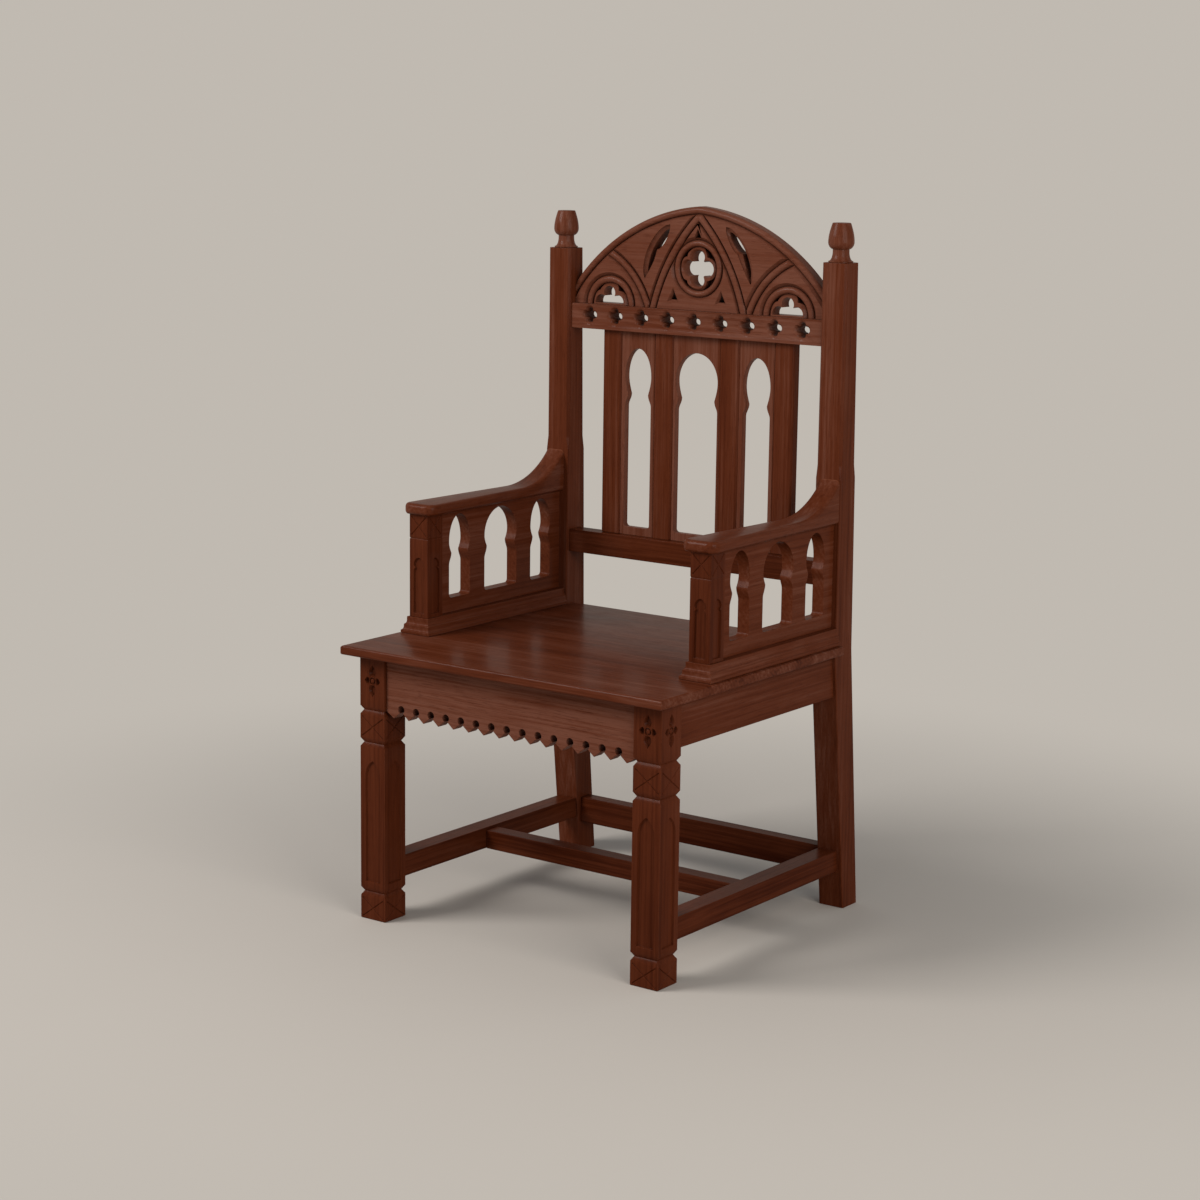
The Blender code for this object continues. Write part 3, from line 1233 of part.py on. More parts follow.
def foil_pocket(well, well_radius, border, lobe_a, radius_a, lobe_b, radius_b):
    """Sunk corner between two neighbouring foils, with a border left round each, inside a round well."""
    ra, rb = radius_a + border, radius_b + border
    from_a = crossings(well, well_radius, lobe_a, ra)[0]
    to_b = crossings(well, well_radius, lobe_b, rb)[1]
    meet = max(crossings(lobe_a, ra, lobe_b, rb), key=lambda point: (point - Vector(well)).length)
    outline = arc_between(well, from_a, to_b, 5)[:-1]
    outline += arc_between(lobe_b, to_b, meet, 3)[:-1]
    outline += arc_between(lobe_a, meet, from_a, 3)[:-1]
    return outline


def roundel_pockets():
    """The four sunk corners between the foils of the roundel."""
    centre = Vector((0.0, CREST_FOOT + ROUNDEL_RISE))
    lobes = []
    for quarter in range(5):
        turn = quarter * math.pi / 2
        lobes.append(centre + Vector((math.cos(turn), math.sin(turn))) * ROUNDEL_FOIL_OFFSET)
    radius = ROUNDEL_FOIL_RADIUS
    pairs = zip(lobes, lobes[1:])
    return [foil_pocket(centre, ROUNDEL_WELL, ROUNDEL_FOIL_BORDER, a, radius, b, radius) for a, b in pairs]


def roundel_opening():
    """Quatrefoil that pierces the roundel."""
    return foiled((0, CREST_FOOT + ROUNDEL_RISE), ROUNDEL_FOIL_RADIUS, ROUNDEL_FOIL_OFFSET, 8)


def lunette_lobes(middle):
    """Centres and radii of a lunette's foils: right, top and left."""
    reach, rise = LUNETTE_SIDE_FOIL_REACH, CREST_FOOT + LUNETTE_SIDE_FOIL_RISE
    return (
        ((middle + reach, rise), LUNETTE_SIDE_FOIL_RADIUS),
        ((middle, CREST_FOOT + LUNETTE_TOP_FOIL_RISE), LUNETTE_TOP_FOIL_RADIUS),
        ((middle - reach, rise), LUNETTE_SIDE_FOIL_RADIUS),
    )


def lunette_pockets(middle):
    """The two sunk corners beside the top foil of a lunette."""
    right, crown, left = lunette_lobes(middle)
    well = ((middle, CREST_FOOT), LUNETTE_WELL, LUNETTE_FOIL_BORDER)
    return [foil_pocket(*well, *right, *crown), foil_pocket(*well, *crown, *left)]


def lunette_opening(middle):
    """Trefoil on a flat sill that pierces a lunette."""
    (lobe, lobe_radius), (crown, crown_radius), _ = lunette_lobes(middle)
    sill = CREST_FOOT + LUNETTE_SILL
    start = (lobe[0] + math.sqrt(lobe_radius ** 2 - (lobe[1] - sill) ** 2), sill)
    meet = max(crossings(lobe, lobe_radius, crown, crown_radius), key=lambda point: point.y)
    half = arc_between(lobe, start, meet, 7)
    half += arc_between(crown, meet, (middle, crown[1] + crown_radius), 4)[1:]
    return half + [(2 * middle - u, v) for u, v in reversed(half[:-1])]


def dagger_outline(side, spread):
    """Curved dagger in the spandrel between the gable and the rim, widened and lengthened by spread."""
    head = Vector((DAGGER_TOP_REACH, CREST_APEX - DAGGER_TOP_DROP))
    foot = Vector((DAGGER_FOOT_REACH, CREST_FOOT + DAGGER_FOOT_RISE))
    longer = (head - foot).normalized() * spread
    spine = bend(foot - longer, head + longer, -DAGGER_BEND, 10)
    left, right = [], []
    for i, (x, z) in enumerate(spine):
        swell = (DAGGER_WIDTH / 2 + spread) * math.sin(math.pi * i / 10) ** DAGGER_FULLNESS
        left.append((x - swell, z))
        right.append((x + swell, z))
    outline = right + list(reversed(left[1:-1]))
    return [(side * x, z) for x, z in outline]


def dagger_frame(side):
    """Cutter for the sloping frame sunk round a dagger."""
    wide = dagger_outline(side, DAGGER_FRAME)
    rings = []
    for outline, y in (
        (wide, CREST_Y - CUT_MARGIN), (wide, CREST_Y),
        (dagger_outline(side, 0.0), CREST_Y + DAGGER_SINK),
    ):
        rings.append([(x, y, z) for x, z in outline])
    return loft(rings)


def spandrel_outlines():
    """The three small triangles that pierce the corners of the gable."""
    size = SPANDREL_SIZE
    top = CREST_APEX - SPANDREL_TOP_DROP
    outlines = [[(-size / 2, top - size), (size / 2, top - size), (0.0, top)]]
    low = CREST_FOOT + SPANDREL_FOOT_RISE
    for _, side in SIDES:
        x = side * SPANDREL_FOOT_REACH
        outlines.append([(x - size / 2, low), (x + size / 2, low), (x, low + size)])
    return outlines


def crest_openings():
    """Everything that pierces the crest."""
    outlines = [roundel_opening()] + spandrel_outlines()
    for _, side in SIDES:
        outlines.append(lunette_opening(side * (POST_INNER - LUNETTE_INSET)))
        outlines.append(dagger_outline(side, 0.0))
    through = (CREST_Y - CUT_MARGIN, CREST_BACK + CUT_MARGIN)
    return [prism(outline, *through, along_y) for outline in outlines]


def crest_sinkings():
    """Everything that is sunk into the front of the crest without piercing it."""
    outlines = roundel_pockets()
    for _, side in SIDES:
        outlines += lunette_pockets(side * (POST_INNER - LUNETTE_INSET))
    band = (CREST_Y - CUT_MARGIN, CREST_Y + FOIL_SINK)
    sunk = [prism(outline, *band, along_y) for outline in outlines]
    centre = (0, CREST_FOOT + ROUNDEL_RISE)
    sunk.append(dish(roundel_opening(), centre, ROUNDEL_DISH_SPREAD, CREST_Y, ROUNDEL_DISH_DEPTH))
    return sunk + [dagger_frame(side) for _, side in SIDES]


def crest_panel():
    """Arched crest board: flush beads set off by quirks, piercings, sunk corners and two tenons."""
    crest = piece("crest_panel", prism(crest_outline(), CREST_Y, CREST_BACK, along_y))
    for _, side in SIDES:
        carve(crest, crest_tenon(side, 0.0), "UNION", "MANIFOLD")
    for line in crest_quirks():
        carve(crest, line, "DIFFERENCE", "MANIFOLD")
    carve(crest, gather(*crest_openings()), "DIFFERENCE", "MANIFOLD")
    carve(crest, gather(*crest_sinkings()), "DIFFERENCE", "MANIFOLD")


def corner_block(name, side, front):
    """Block that fills the corner between two aprons round the leg or post that stands there."""
    corner_x = SIDE_X - APRON_RECESS - APRON_THICKNESS - FIT
    if front:
        corner_y, way = FRONT_APRON_YS[1] + FIT, 1
        notch_y = FRONT_Y + LEG_SIZE + FIT - corner_y
        notch_x = corner_x - (SIDE_X - LEG_SIZE - FIT)
    else:
        corner_y, way = REAR_APRON_YS[0] - FIT, -1
        notch_y = corner_y - (POST_Y - FIT)
        notch_x = corner_x - (POST_INNER - FIT)
    plan = [(notch_x, 0), (BLOCK_REACH, 0), (0, BLOCK_REACH), (0, notch_y), (notch_x, notch_y)]
    outline = [(side * (corner_x - u), corner_y + way * v) for u, v in plan]
    high = SEAT_UNDER - FIT
    block = piece(name, prism(outline, high - BLOCK_HEIGHT, high, along_z))
    places = [p for p in block_screw_places() if p[0] * side > 0 and (p[1] < 0) == front]
    carve(block, gather(*[block_screw(place, FIT) for place in places]))


def screws():
    """The hidden screws that hold the seat board to the blocks and the plinths to the seat board."""
    for places, shape, kind in (
        (block_screw_places(), block_screw, "corner_block_screw_"),
        (arm_screw_places(), arm_screw, "arm_base_screw_"),
    ):
        for x, y in places:
            word = ("rear_" if y > 0 else "front_") + ("right" if x > 0 else "left")
            piece(kind + word, shape((x, y)), STEEL, roughness=0.35, metallic=1.0)


def build():
    """Clear the scene and make every piece of the chair."""
    for item in list(bpy.data.objects):
        bpy.data.objects.remove(item)
    for word, side in SIDES:
        front_leg("front_leg_" + word, side)
        rear_post("rear_post_" + word, side)
        finial("finial_" + word, side)
        arm("arm_" + word, side)
        arm_post("arm_post_" + word, side)
        plinth("arm_base_" + word, side)
        arm_panel("arm_panel_" + word, side)
        corner_block("corner_block_front_" + word, side, True)
        corner_block("corner_block_rear_" + word, side, False)
    seat_board()
    front_apron()
    side_aprons()
    stretchers()
    back_rails()
    back_stiles()
    back_panels()
    crest_panel()
    screws()


build()
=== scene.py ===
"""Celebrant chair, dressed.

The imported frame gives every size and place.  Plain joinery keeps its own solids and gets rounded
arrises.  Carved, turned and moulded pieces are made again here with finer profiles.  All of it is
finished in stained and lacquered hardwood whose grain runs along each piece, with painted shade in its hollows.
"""

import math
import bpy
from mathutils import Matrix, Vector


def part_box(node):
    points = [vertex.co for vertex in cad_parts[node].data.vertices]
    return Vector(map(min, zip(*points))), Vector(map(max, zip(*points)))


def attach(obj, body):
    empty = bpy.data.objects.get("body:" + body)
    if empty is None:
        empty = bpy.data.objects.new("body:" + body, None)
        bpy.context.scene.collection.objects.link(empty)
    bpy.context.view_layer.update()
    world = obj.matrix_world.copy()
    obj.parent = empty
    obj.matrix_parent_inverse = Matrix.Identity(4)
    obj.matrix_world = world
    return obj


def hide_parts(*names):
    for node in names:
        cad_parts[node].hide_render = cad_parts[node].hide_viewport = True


bl_info = {
    "name": "Celebrant Chair",
    "version": (1, 0, 0),
    "blender": (4, 5, 0),
    "location": "View3D > Sidebar > Chair",
    "description": "Dresses a carved celebrant chair with tracery, turnings, mouldings and stained wood",
    "category": "Object",
}

import bmesh
import bpy
from bpy.props import FloatProperty, FloatVectorProperty, PointerProperty
from mathutils import Matrix, Vector

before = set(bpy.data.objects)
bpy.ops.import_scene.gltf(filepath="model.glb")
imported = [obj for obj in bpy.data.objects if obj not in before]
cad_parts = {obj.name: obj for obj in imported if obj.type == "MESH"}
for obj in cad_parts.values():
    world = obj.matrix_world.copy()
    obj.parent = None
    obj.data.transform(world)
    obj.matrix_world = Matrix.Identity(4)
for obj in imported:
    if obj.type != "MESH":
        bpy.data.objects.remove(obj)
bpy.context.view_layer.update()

# Clearance at a joint, how far a cutting tool stands past the face it cuts, the turn that makes an edge an
# arris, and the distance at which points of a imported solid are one
FIT = 0.0003
MARGIN = 0.002
SHARP = math.radians(34)
WELD_GAP = 1e-6
SIDES = (("left", -1), ("right", 1))

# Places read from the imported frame
POST_LOW, POST_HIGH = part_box("rear_post_right")
SEAT_LOW, SEAT_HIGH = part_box("seat_board")
LEG_LOW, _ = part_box("front_leg_right")
ARM_LOW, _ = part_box("arm_right")
ARM_POST_LOW, ARM_POST_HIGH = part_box("arm_post_right")
BASE_LOW, BASE_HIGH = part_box("arm_base_right")
FRIEZE_LOW, FRIEZE_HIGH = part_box("frieze_rail")
CREST_LOW, CREST_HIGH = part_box("crest_panel")
POST_INNER = POST_LOW.x
POST_Y = POST_LOW.y
ARM_X = (ARM_POST_LOW.x + ARM_POST_HIGH.x) / 2


def length(name, description, default):
    """A size in metres that a user can change."""
    return FloatProperty(name=name, description=description, default=default, unit="LENGTH", precision=4)


def share(name, description, default):
    """A plain number between nothing and all."""
    return FloatProperty(name=name, description=description, default=default, min=0.0, max=1.0, subtype="FACTOR")


def stain(name, description, default):
    """A colour, in linear light."""
    return FloatVectorProperty(
        name=name, description=description, default=default, size=3, min=0.0, max=1.0, subtype="COLOR")


def angle(name, description, degrees):
    """An angle, written in degrees."""
    return FloatProperty(name=name, description=description, default=math.radians(degrees), subtype="ANGLE")


def power(name, description, watts):
    """The power of a light."""
    return FloatProperty(name=name, description=description, default=watts, unit="POWER")


class ChairFinish(bpy.types.PropertyGroup):
    """Colours and gloss of the wood."""

    deep: stain("Deep stain", "Stain in the dense late wood", (0.044, 0.0078, 0.0022))
    body: stain("Body stain", "Stain over most of the wood", (0.095, 0.0216, 0.0078))
    pale: stain("Pale stain", "Stain in the open early wood", (0.155, 0.0570, 0.0350))
    # Painted shade: the dark colour laid into grooves and corners, where the wood is closed in and shade falls
    hollow_shade: stain("Hollow_shade", "Dark glaze left in grooves and corners", (0.016, 0.0038, 0.0020))
    worn: stain("Worn stain", "Stain rubbed thin along the arrises", (0.165, 0.0520, 0.0230))
    gloss: share("Roughness", "Roughness of the satin lacquer", 0.34)
    lacquer: share("Lacquer", "Weight of the clear coat", 0.04)
    polish: share("Polish", "Weight of the clear coat on seat, arms, frieze, crest and finials", 0.09)
    sheen: share("Sheen", "Strength of the reflection in the stained wood", 0.02)


class ChairEdges(bpy.types.PropertyGroup):
    """How far edges are rounded."""

    rail: length("Rail arris", "Rounding of rails, stiles and stretchers", 0.0014)
    post: length("Post arris", "Rounding of legs and posts", 0.0012)
    carving: length("Carving arris", "Softening of carved edges", 0.0006)
    seat: length("Seat edge", "Rounding of the seat board's edge", 0.0042)
    arm: length("Arm edge", "Rounding of the arms' upper edge", 0.0070)
    arm_under: length("Arm lower edge", "Rounding of the arms' lower edge", 0.0060)


class ChairTracery(bpy.types.PropertyGroup):
    """Sizes of the crest's carving."""

    quirk: length("Quirk slope", "Width of the slope from the ground down to a bead's foot", 0.0052)
    gable_quirk: length("Gable quirk", "The same slope beside the gable, narrow because of its sharp apex", 0.0030)
    quirk_depth: length("Quirk depth", "Depth of the groove beside a bead", 0.0058)
    rim: length("Rim roll", "Width of the roll round the arch", 0.0120)
    gable: length("Gable bead", "Width of the bead of the gable", 0.0135)
    ring: length("Ring bead", "Width of the bead round the roundel", 0.0110)
    shank: length("Shank bead", "Width of the beads that divide the bays", 0.0125)
    lunette: length("Lunette bead", "Width of the bead over a lunette", 0.0125)
    sink: length("Pocket depth", "Depth of the sunk corners between the foils", 0.0130)


class ChairStage(bpy.types.PropertyGroup):
    """Floor, light and camera."""

    floor: stain("Floor", "Colour of the floor and backdrop", (0.53, 0.49, 0.44))
    key: power("Key", "Power of the large soft light at the front left", 124.0)
    fill: power("Fill", "Power of the light at the right", 56.0)
    azimuth: angle("Azimuth", "Camera's turn round the chair", 36.2865)
    elevation: angle("Elevation", "Camera's height angle", 10.7733)
    roll: angle("Roll", "Camera's lean", 0.7422)
    distance: length("Distance", "Camera to the middle of the chair", 4.2644)
    lens: FloatProperty(
        name="Lens", description="Focal length on a 36 mm sensor", default=79.938, unit="CAMERA")


class Shade:
    """A socket in a material's node tree: arithmetic on shades adds Math nodes."""

    def __init__(self, tree, socket):
        self.tree = tree
        self.socket = socket

    def math(self, operation, a, b):
        return add_node(self.tree, "ShaderNodeMath", {"operation": operation}, {0: a, 1: b})[0]

    def __add__(self, other):
        return self.math("ADD", self, other)

    def __radd__(self, other):
        return self.math("ADD", other, self)

    def __sub__(self, other):
        return self.math("SUBTRACT", self, other)

    def __rsub__(self, other):
        return self.math("SUBTRACT", other, self)

    def __mul__(self, other):
        return self.math("MULTIPLY", self, other)

    def __rmul__(self, other):
        return self.math("MULTIPLY", other, self)

    def __pow__(self, other):
        return self.math("POWER", self, other)

    def __rpow__(self, other):
        return self.math("POWER", other, self)


def connect(tree, node, sockets):
    """Give a node's sockets their values or links."""
    for name, value in sockets.items():
        if isinstance(value, Shade):
            tree.links.new(value.socket, node.inputs[name])
        else:
            node.inputs[name].default_value = value


def add_node(tree, kind, settings, sockets):
    """Add one node: settings first, then its sockets' values or links; returns its outputs."""
    node = tree.nodes.new(kind)
    for name, value in settings.items():
        setattr(node, name, value)
    connect(tree, node, sockets)
    return [Shade(tree, socket) for socket in node.outputs]


def scaled(tree, vector, factors):
    """A vector times fixed factors along its three axes."""
    return add_node(tree, "ShaderNodeVectorMath", {"operation": "MULTIPLY"}, {0: vector, 1: factors})[0]


def noise(tree, vector, detail, rough=0.55):
    """Cloudy values from nothing to one."""
    sockets = {"Vector": vector, "Scale": 1.0, "Detail": detail, "Roughness": rough}
    return add_node(tree, "ShaderNodeTexNoise", {"noise_dimensions": "3D"}, sockets)[0]


def band(tree, value, low, high):
    """Smooth step from nothing at low to one at high."""
    settings = {"interpolation_type": "SMOOTHSTEP"}
    sockets = {"Value": value, "From Min": low, "From Max": high, "To Min": 0.0, "To Max": 1.0}
    return add_node(tree, "ShaderNodeMapRange", settings, sockets)[0]


def mixed(tree, factor, first, second):
    """Colour between two colours."""
    settings = {"data_type": "RGBA", "clamp_factor": True}
    return add_node(tree, "ShaderNodeMix", settings, {0: factor, 6: first, 7: second})[2]


def new_tree(name):
    """A fresh material, its node tree and its main shader."""
    material = bpy.data.materials.new(name)
    material.use_nodes = True
    return material, material.node_tree, material.node_tree.nodes["Principled BSDF"]


def object_place(tree):
    """Coordinates in the object, in metres."""
    return add_node(tree, "ShaderNodeTexCoord", {}, {})[3]


def grain_space(tree, axis, seed):
    """Coordinates in metres with the grain along the third axis, moved to a place of its own by the seed."""
    x, y, z = add_node(tree, "ShaderNodeSeparateXYZ", {}, {0: object_place(tree)})
    order = {"X": (y, z, x), "Y": (x, z, y), "Z": (x, y, z)}[axis]
    turned_place = add_node(tree, "ShaderNodeCombineXYZ", {}, dict(enumerate(order)))[0]
    shift = (0.37 * seed + 0.11, 0.23 * seed - 0.07, 0.61 * seed)
    return add_node(tree, "ShaderNodeVectorMath", {"operation": "ADD"}, {0: turned_place, 1: shift})[0]


def openness(tree, reach, inside=False):
    """How open the space is round a point, within a reach: outside the wood for hollows, inside it for arrises."""
    settings = {"samples": 5, "only_local": True, "inside": inside}
    return add_node(tree, "ShaderNodeAmbientOcclusion", settings, {"Distance": reach})[1]


# Clouds in the wood: spots per metre across the grain and along it, and layers of finer detail
FIGURE = (22.0, 1.6, 3.0)
SWAY = (9.0, 2.6, 2.0)
FIBRE = (620.0, 7.0, 3.0)
PORES = (1500.0, 42.0, 1.0)
STREAK = (190.0, 2.2, 2.0)
RIBBON = (30.0, 14.0, 1.0)
PATCHES = (60.0, 25.0, 3.0)
RIPPLE = (90.0, 30.0, 2.0)

# Spacing and sway of the growth rings, how far the painted shade in hollows and the wear reach, and the coat's
# roughness
RING_PERIOD = 0.0075
RING_SWAY = 0.040
SHADE_REACH = 0.016
WEAR_REACH = 0.0022
COAT_ROUGHNESS = 0.16


def wood(name, axis, seed, tone_and_shade=0.0, polished=False, vivid=1.0):
    """Stained hardwood: broad figure, growth rings, fibres and pores, painted shade in grooves and corners, worn
    arrises.
    """
    finish = bpy.context.scene.chair_finish
    stains = (finish.deep, finish.body, finish.pale, finish.worn, finish.hollow_shade)
    deep, body, pale, worn, hollow_shade = [(*colour, 1) for colour in stains]
    material, tree, shader = new_tree(name)
    place = grain_space(tree, axis, seed)

    def cloud(spots, rough=0.55):
        wide, along, detail = spots
        return noise(tree, scaled(tree, place, (wide, wide, along)), detail, rough)

    figure, sway = cloud(FIGURE), cloud(SWAY)
    across, over, _ = add_node(tree, "ShaderNodeSeparateXYZ", {}, {0: place})
    reach = (across * across + over * over) ** 0.5 + (sway - 0.5) * RING_SWAY
    wave = add_node(tree, "ShaderNodeMath", {"operation": "SINE"}, {0: reach * (2 * math.pi / RING_PERIOD)})[0]
    rings = band(tree, wave, -0.2, 1.0)
    fibre = cloud(FIBRE, 0.6)
    pores = band(tree, cloud(PORES), 0.58, 0.70)
    streak, ribbon = cloud(STREAK), cloud(RIBBON)
    grain = (figure - 0.5) * 0.9 + (fibre - 0.5) * 0.5 + (ribbon - 0.5) * 0.3
    grain = grain + (streak - 0.5) * 0.7 - rings * ribbon * 0.14
    # A piece's tone lifts or lowers its stain; the lowered tones of legs, arm posts, low rails and stretchers are
    # painted shade
    level = grain * vivid + (0.55 + tone_and_shade)
    colour = mixed(tree, band(tree, level, 0.0, 0.55), deep, body)
    colour = mixed(tree, band(tree, level, 0.45, 1.1), colour, pale)
    colour = mixed(tree, pores * 0.55, colour, deep)
    hollow, ridge = openness(tree, SHADE_REACH), openness(tree, WEAR_REACH, True)
    patchy = cloud(PATCHES)
    wear = band(tree, ridge + (patchy - 0.5) * 0.35, 0.62, 0.30) * 0.45
    colour = mixed(tree, wear, colour, worn)
    # Painted shade: hollows and corners are darkened towards the dark hollow colour, and made a little rougher
    shade_mask = band(tree, hollow + (patchy - 0.5) * 0.20, 0.72, 0.20)
    colour = mixed(tree, shade_mask * 0.85, colour, hollow_shade)
    gloss = finish.gloss + (figure - 0.5) * 0.10 + pores * 0.10 + shade_mask * 0.16 + (patchy - 0.5) * 0.10
    height = fibre * 0.35 - pores * 0.55 + cloud(RIPPLE) * 0.8
    bump = add_node(tree, "ShaderNodeBump", {}, {"Strength": 0.30, "Distance": 0.0003, "Height": height})[0]
    connect(tree, shader, {
        "Base Color": colour, "Roughness": gloss, "Normal": bump,
        "Coat Weight": finish.polish if polished else finish.lacquer, "Coat Roughness": COAT_ROUGHNESS,
        "Specular IOR Level": finish.sheen,
    })
    return material


# Screw steel: spots of the turning marks and of rust per metre, and its two colours
TURNING_MARKS = (900.0, 900.0, 900.0)
RUST_SPOTS = (420.0, 420.0, 420.0)
BRIGHT_STEEL = (0.40, 0.38, 0.35, 1)
RUSTY_STEEL = (0.17, 0.075, 0.035, 1)
SCREW_ARRIS = 0.0003


def steel(name):
    """Plain screw steel with turning marks and a little rust."""
    material, tree, shader = new_tree(name)
    place = object_place(tree)
    marks = noise(tree, scaled(tree, place, TURNING_MARKS), 2.0)
    rust = band(tree, noise(tree, scaled(tree, place, RUST_SPOTS), 4.0), 0.55, 0.72)
    colour = mixed(tree, rust * 0.6, BRIGHT_STEEL, RUSTY_STEEL)
    gloss = 0.28 + marks * 0.15 + rust * 0.3
    connect(tree, shader, {"Base Color": colour, "Metallic": 1.0 - rust * 0.7, "Roughness": gloss})
    return material


class Face:
    """A flat face that carries carving: u runs across it, v is the height and d goes into the wood."""

    def __init__(self, origin, across, inward):
        self.origin = Vector(origin)
        self.across = Vector(across)
        self.inward = Vector(inward)

    def at(self, u, v, d):
        return self.origin + self.across * u + self.inward * d + Vector((0, 0, v))


def front_face(y):
    """The face of a piece of the back or the apron, looking at the viewer."""
    return Face((0, y, 0), (1, 0, 0), (0, 1, 0))


def loft(rings, closed=False):
    """Skin a row of equal loops of points, with flat caps unless the row closes on itself."""
    bm = bmesh.new()
    loops = [[bm.verts.new(point) for point in ring] for ring in rings]
    pairs = list(zip(loops, loops[1:]))
    if closed:
        pairs.append((loops[-1], loops[0]))
    for low, high in pairs:
        for i in range(len(low)):
            j = (i + 1) % len(low)
            bm.faces.new((low[i], low[j], high[j], high[i]))
    if not closed:
        bm.faces.new(loops[0])
        bm.faces.new(loops[-1])
    return bm


def prism(face, outline, start, end, holes=()):
    """Extrude an outline with holes between two depths of a face."""
    bm = bmesh.new()
    edges = []
    for loop in (outline, *holes):
        verts = [bm.verts.new(face.at(u, v, start)) for u, v in loop]
        for a, b in zip(verts, verts[1:] + verts[:1]):
            edges.append(bm.edges.new((a, b)))
    bmesh.ops.triangle_fill(bm, use_beauty=True, use_dissolve=False, edges=edges)
    made = bmesh.ops.extrude_face_region(bm, geom=bm.faces[:])
    moved = [part for part in made["geom"] if isinstance(part, bmesh.types.BMVert)]
    bmesh.ops.translate(bm, verts=moved, vec=face.inward * (end - start))
    return bm


def sinking(face, levels):
    """Cutter skinned through outlines at rising depths."""
    return loft([[face.at(u, v, d) for u, v in outline] for outline, d in levels])


def rectangle(low, high):
    """Corners of a rectangle from its lowest and highest corner, anticlockwise."""
    return [(low[0], low[1]), (high[0], low[1]), (high[0], high[1]), (low[0], high[1])]


def box(low, high):
    """A plain box between two corners."""
    return prism(front_face(0.0), rectangle((low.x, low.z), (high.x, high.z)), low.y, high.y)


def gather(tools):
    """Put several bmeshes into one, as separate bodies."""
    whole = bmesh.new()
    for tool in tools:
        mesh = bpy.data.meshes.new("gather")
        tool.to_mesh(mesh)
        tool.free()
        whole.from_mesh(mesh)
        bpy.data.meshes.remove(mesh)
    return whole


def turned(profile, axis, segments):
    """Turn a profile of (radius, height) pairs round an upright axis."""
    rings = []
    for radius, height in profile:
        angles = [2 * math.pi * i / segments for i in range(segments)]
        rings.append([(axis[0] + radius * math.cos(a), axis[1] + radius * math.sin(a), height) for a in angles])
    return loft(rings)


def arc(centre, radius, start, end, steps):
    """Points on a circle from one angle to another, both ends included."""
    angles = [start + (end - start) * i / steps for i in range(steps + 1)]
    return [(centre[0] + radius * math.cos(a), centre[1] + radius * math.sin(a)) for a in angles]


def quarter(steps):
    """Angles of a quarter turn, both ends included."""
    return [math.pi / 2 * i / steps for i in range(steps + 1)]


def circle(centre, radius, steps):
    """Points all round a circle."""
    return arc(centre, radius, 0, 2 * math.pi, steps)[:-1]


def mirrored(half):
    """Close a right half outline, from foot to head, with its reflection in u = 0."""
    return half + [(-u, v) for u, v in reversed(half) if u > FIT / 10]


def shifted(outline, du):
    """An outline moved across its face."""
    return [(u + du, v) for u, v in outline]


def centroid(outline):
    """Mean of an outline's points."""
    return sum(u for u, _ in outline) / len(outline), sum(v for _, v in outline) / len(outline)


def grown(outline, centre, factor):
    """An outline scaled about a point."""
    return [(centre[0] + (u - centre[0]) * factor, centre[1] + (v - centre[1]) * factor) for u, v in outline]


def bend(start, end, bulge, steps, fullness=1.0):
    """Gentle curve between two points, bulging to the left of its run; a low fullness swells its ends."""
    start, end = Vector(start), Vector(end)
    run = end - start
    side = Vector((-run.y, run.x)).normalized()
    points = []
    for i in range(steps + 1):
        t = i / steps
        points.append(tuple(start + run * t + side * (bulge * (4 * t * (1 - t)) ** fullness)))
    return points


def beside(path, distance, closed=False):
    """Points beside a path, to its left, with mitred corners."""
    count = len(path)
    moved = []
    for i in range(count):
        before = path[i - 1] if closed or i > 0 else None
        after = path[(i + 1) % count] if closed or i < count - 1 else None
        normals = []
        for a, b in ((before, path[i]), (path[i], after)):
            if a is not None and b is not None:
                run = Vector(b) - Vector(a)
                normals.append(Vector((-run.y, run.x)).normalized())
        mean = sum(normals, Vector((0.0, 0.0)))
        mean = mean * (distance * len(normals) / mean.length_squared)
        moved.append((path[i][0] + mean.x, path[i][1] + mean.y))
    return moved


def moulding(face, path, section, closed=False):
    """Run a section of (offset, depth) points along a path on a face."""
    lines = [(beside(path, offset, closed), depth) for offset, depth in section]
    return loft([[face.at(*line[i], depth) for line, depth in lines] for i in range(len(path))], closed)


def new_object(name, bm):
    """Turn a bmesh into a named object in the scene."""
    bmesh.ops.recalc_face_normals(bm, faces=bm.faces)
    mesh = bpy.data.meshes.new(name)
    bm.to_mesh(mesh)
    bm.free()
    item = bpy.data.objects.new(name, mesh)
    bpy.context.scene.collection.objects.link(item)
    return item


def carve(item, tool, operation="DIFFERENCE", solver="EXACT"):
    """Cut a bmesh out of a piece, or join it on, and keep the result as the piece's mesh."""
    cutter = new_object("tool", tool)
    modifier = item.modifiers.new("carve", "BOOLEAN")
    modifier.operation = operation
    modifier.solver = solver
    modifier.object = cutter
    bpy.context.view_layer.update()
    result = bpy.data.meshes.new_from_object(item.evaluated_get(bpy.context.evaluated_depsgraph_get()))
    if not result.polygons:
        raise RuntimeError("nothing is left of " + item.name)
    old = item.data
    item.modifiers.clear()
    item.data = result
    spare = cutter.data
    bpy.data.objects.remove(cutter)
    bpy.data.meshes.remove(spare)
    bpy.data.meshes.remove(old)
    result.name = item.name


def cut(item, tool):
    """Carve with the quick solver, which needs tools that keep clear of each other."""
    carve(item, tool, "DIFFERENCE", "MANIFOLD")


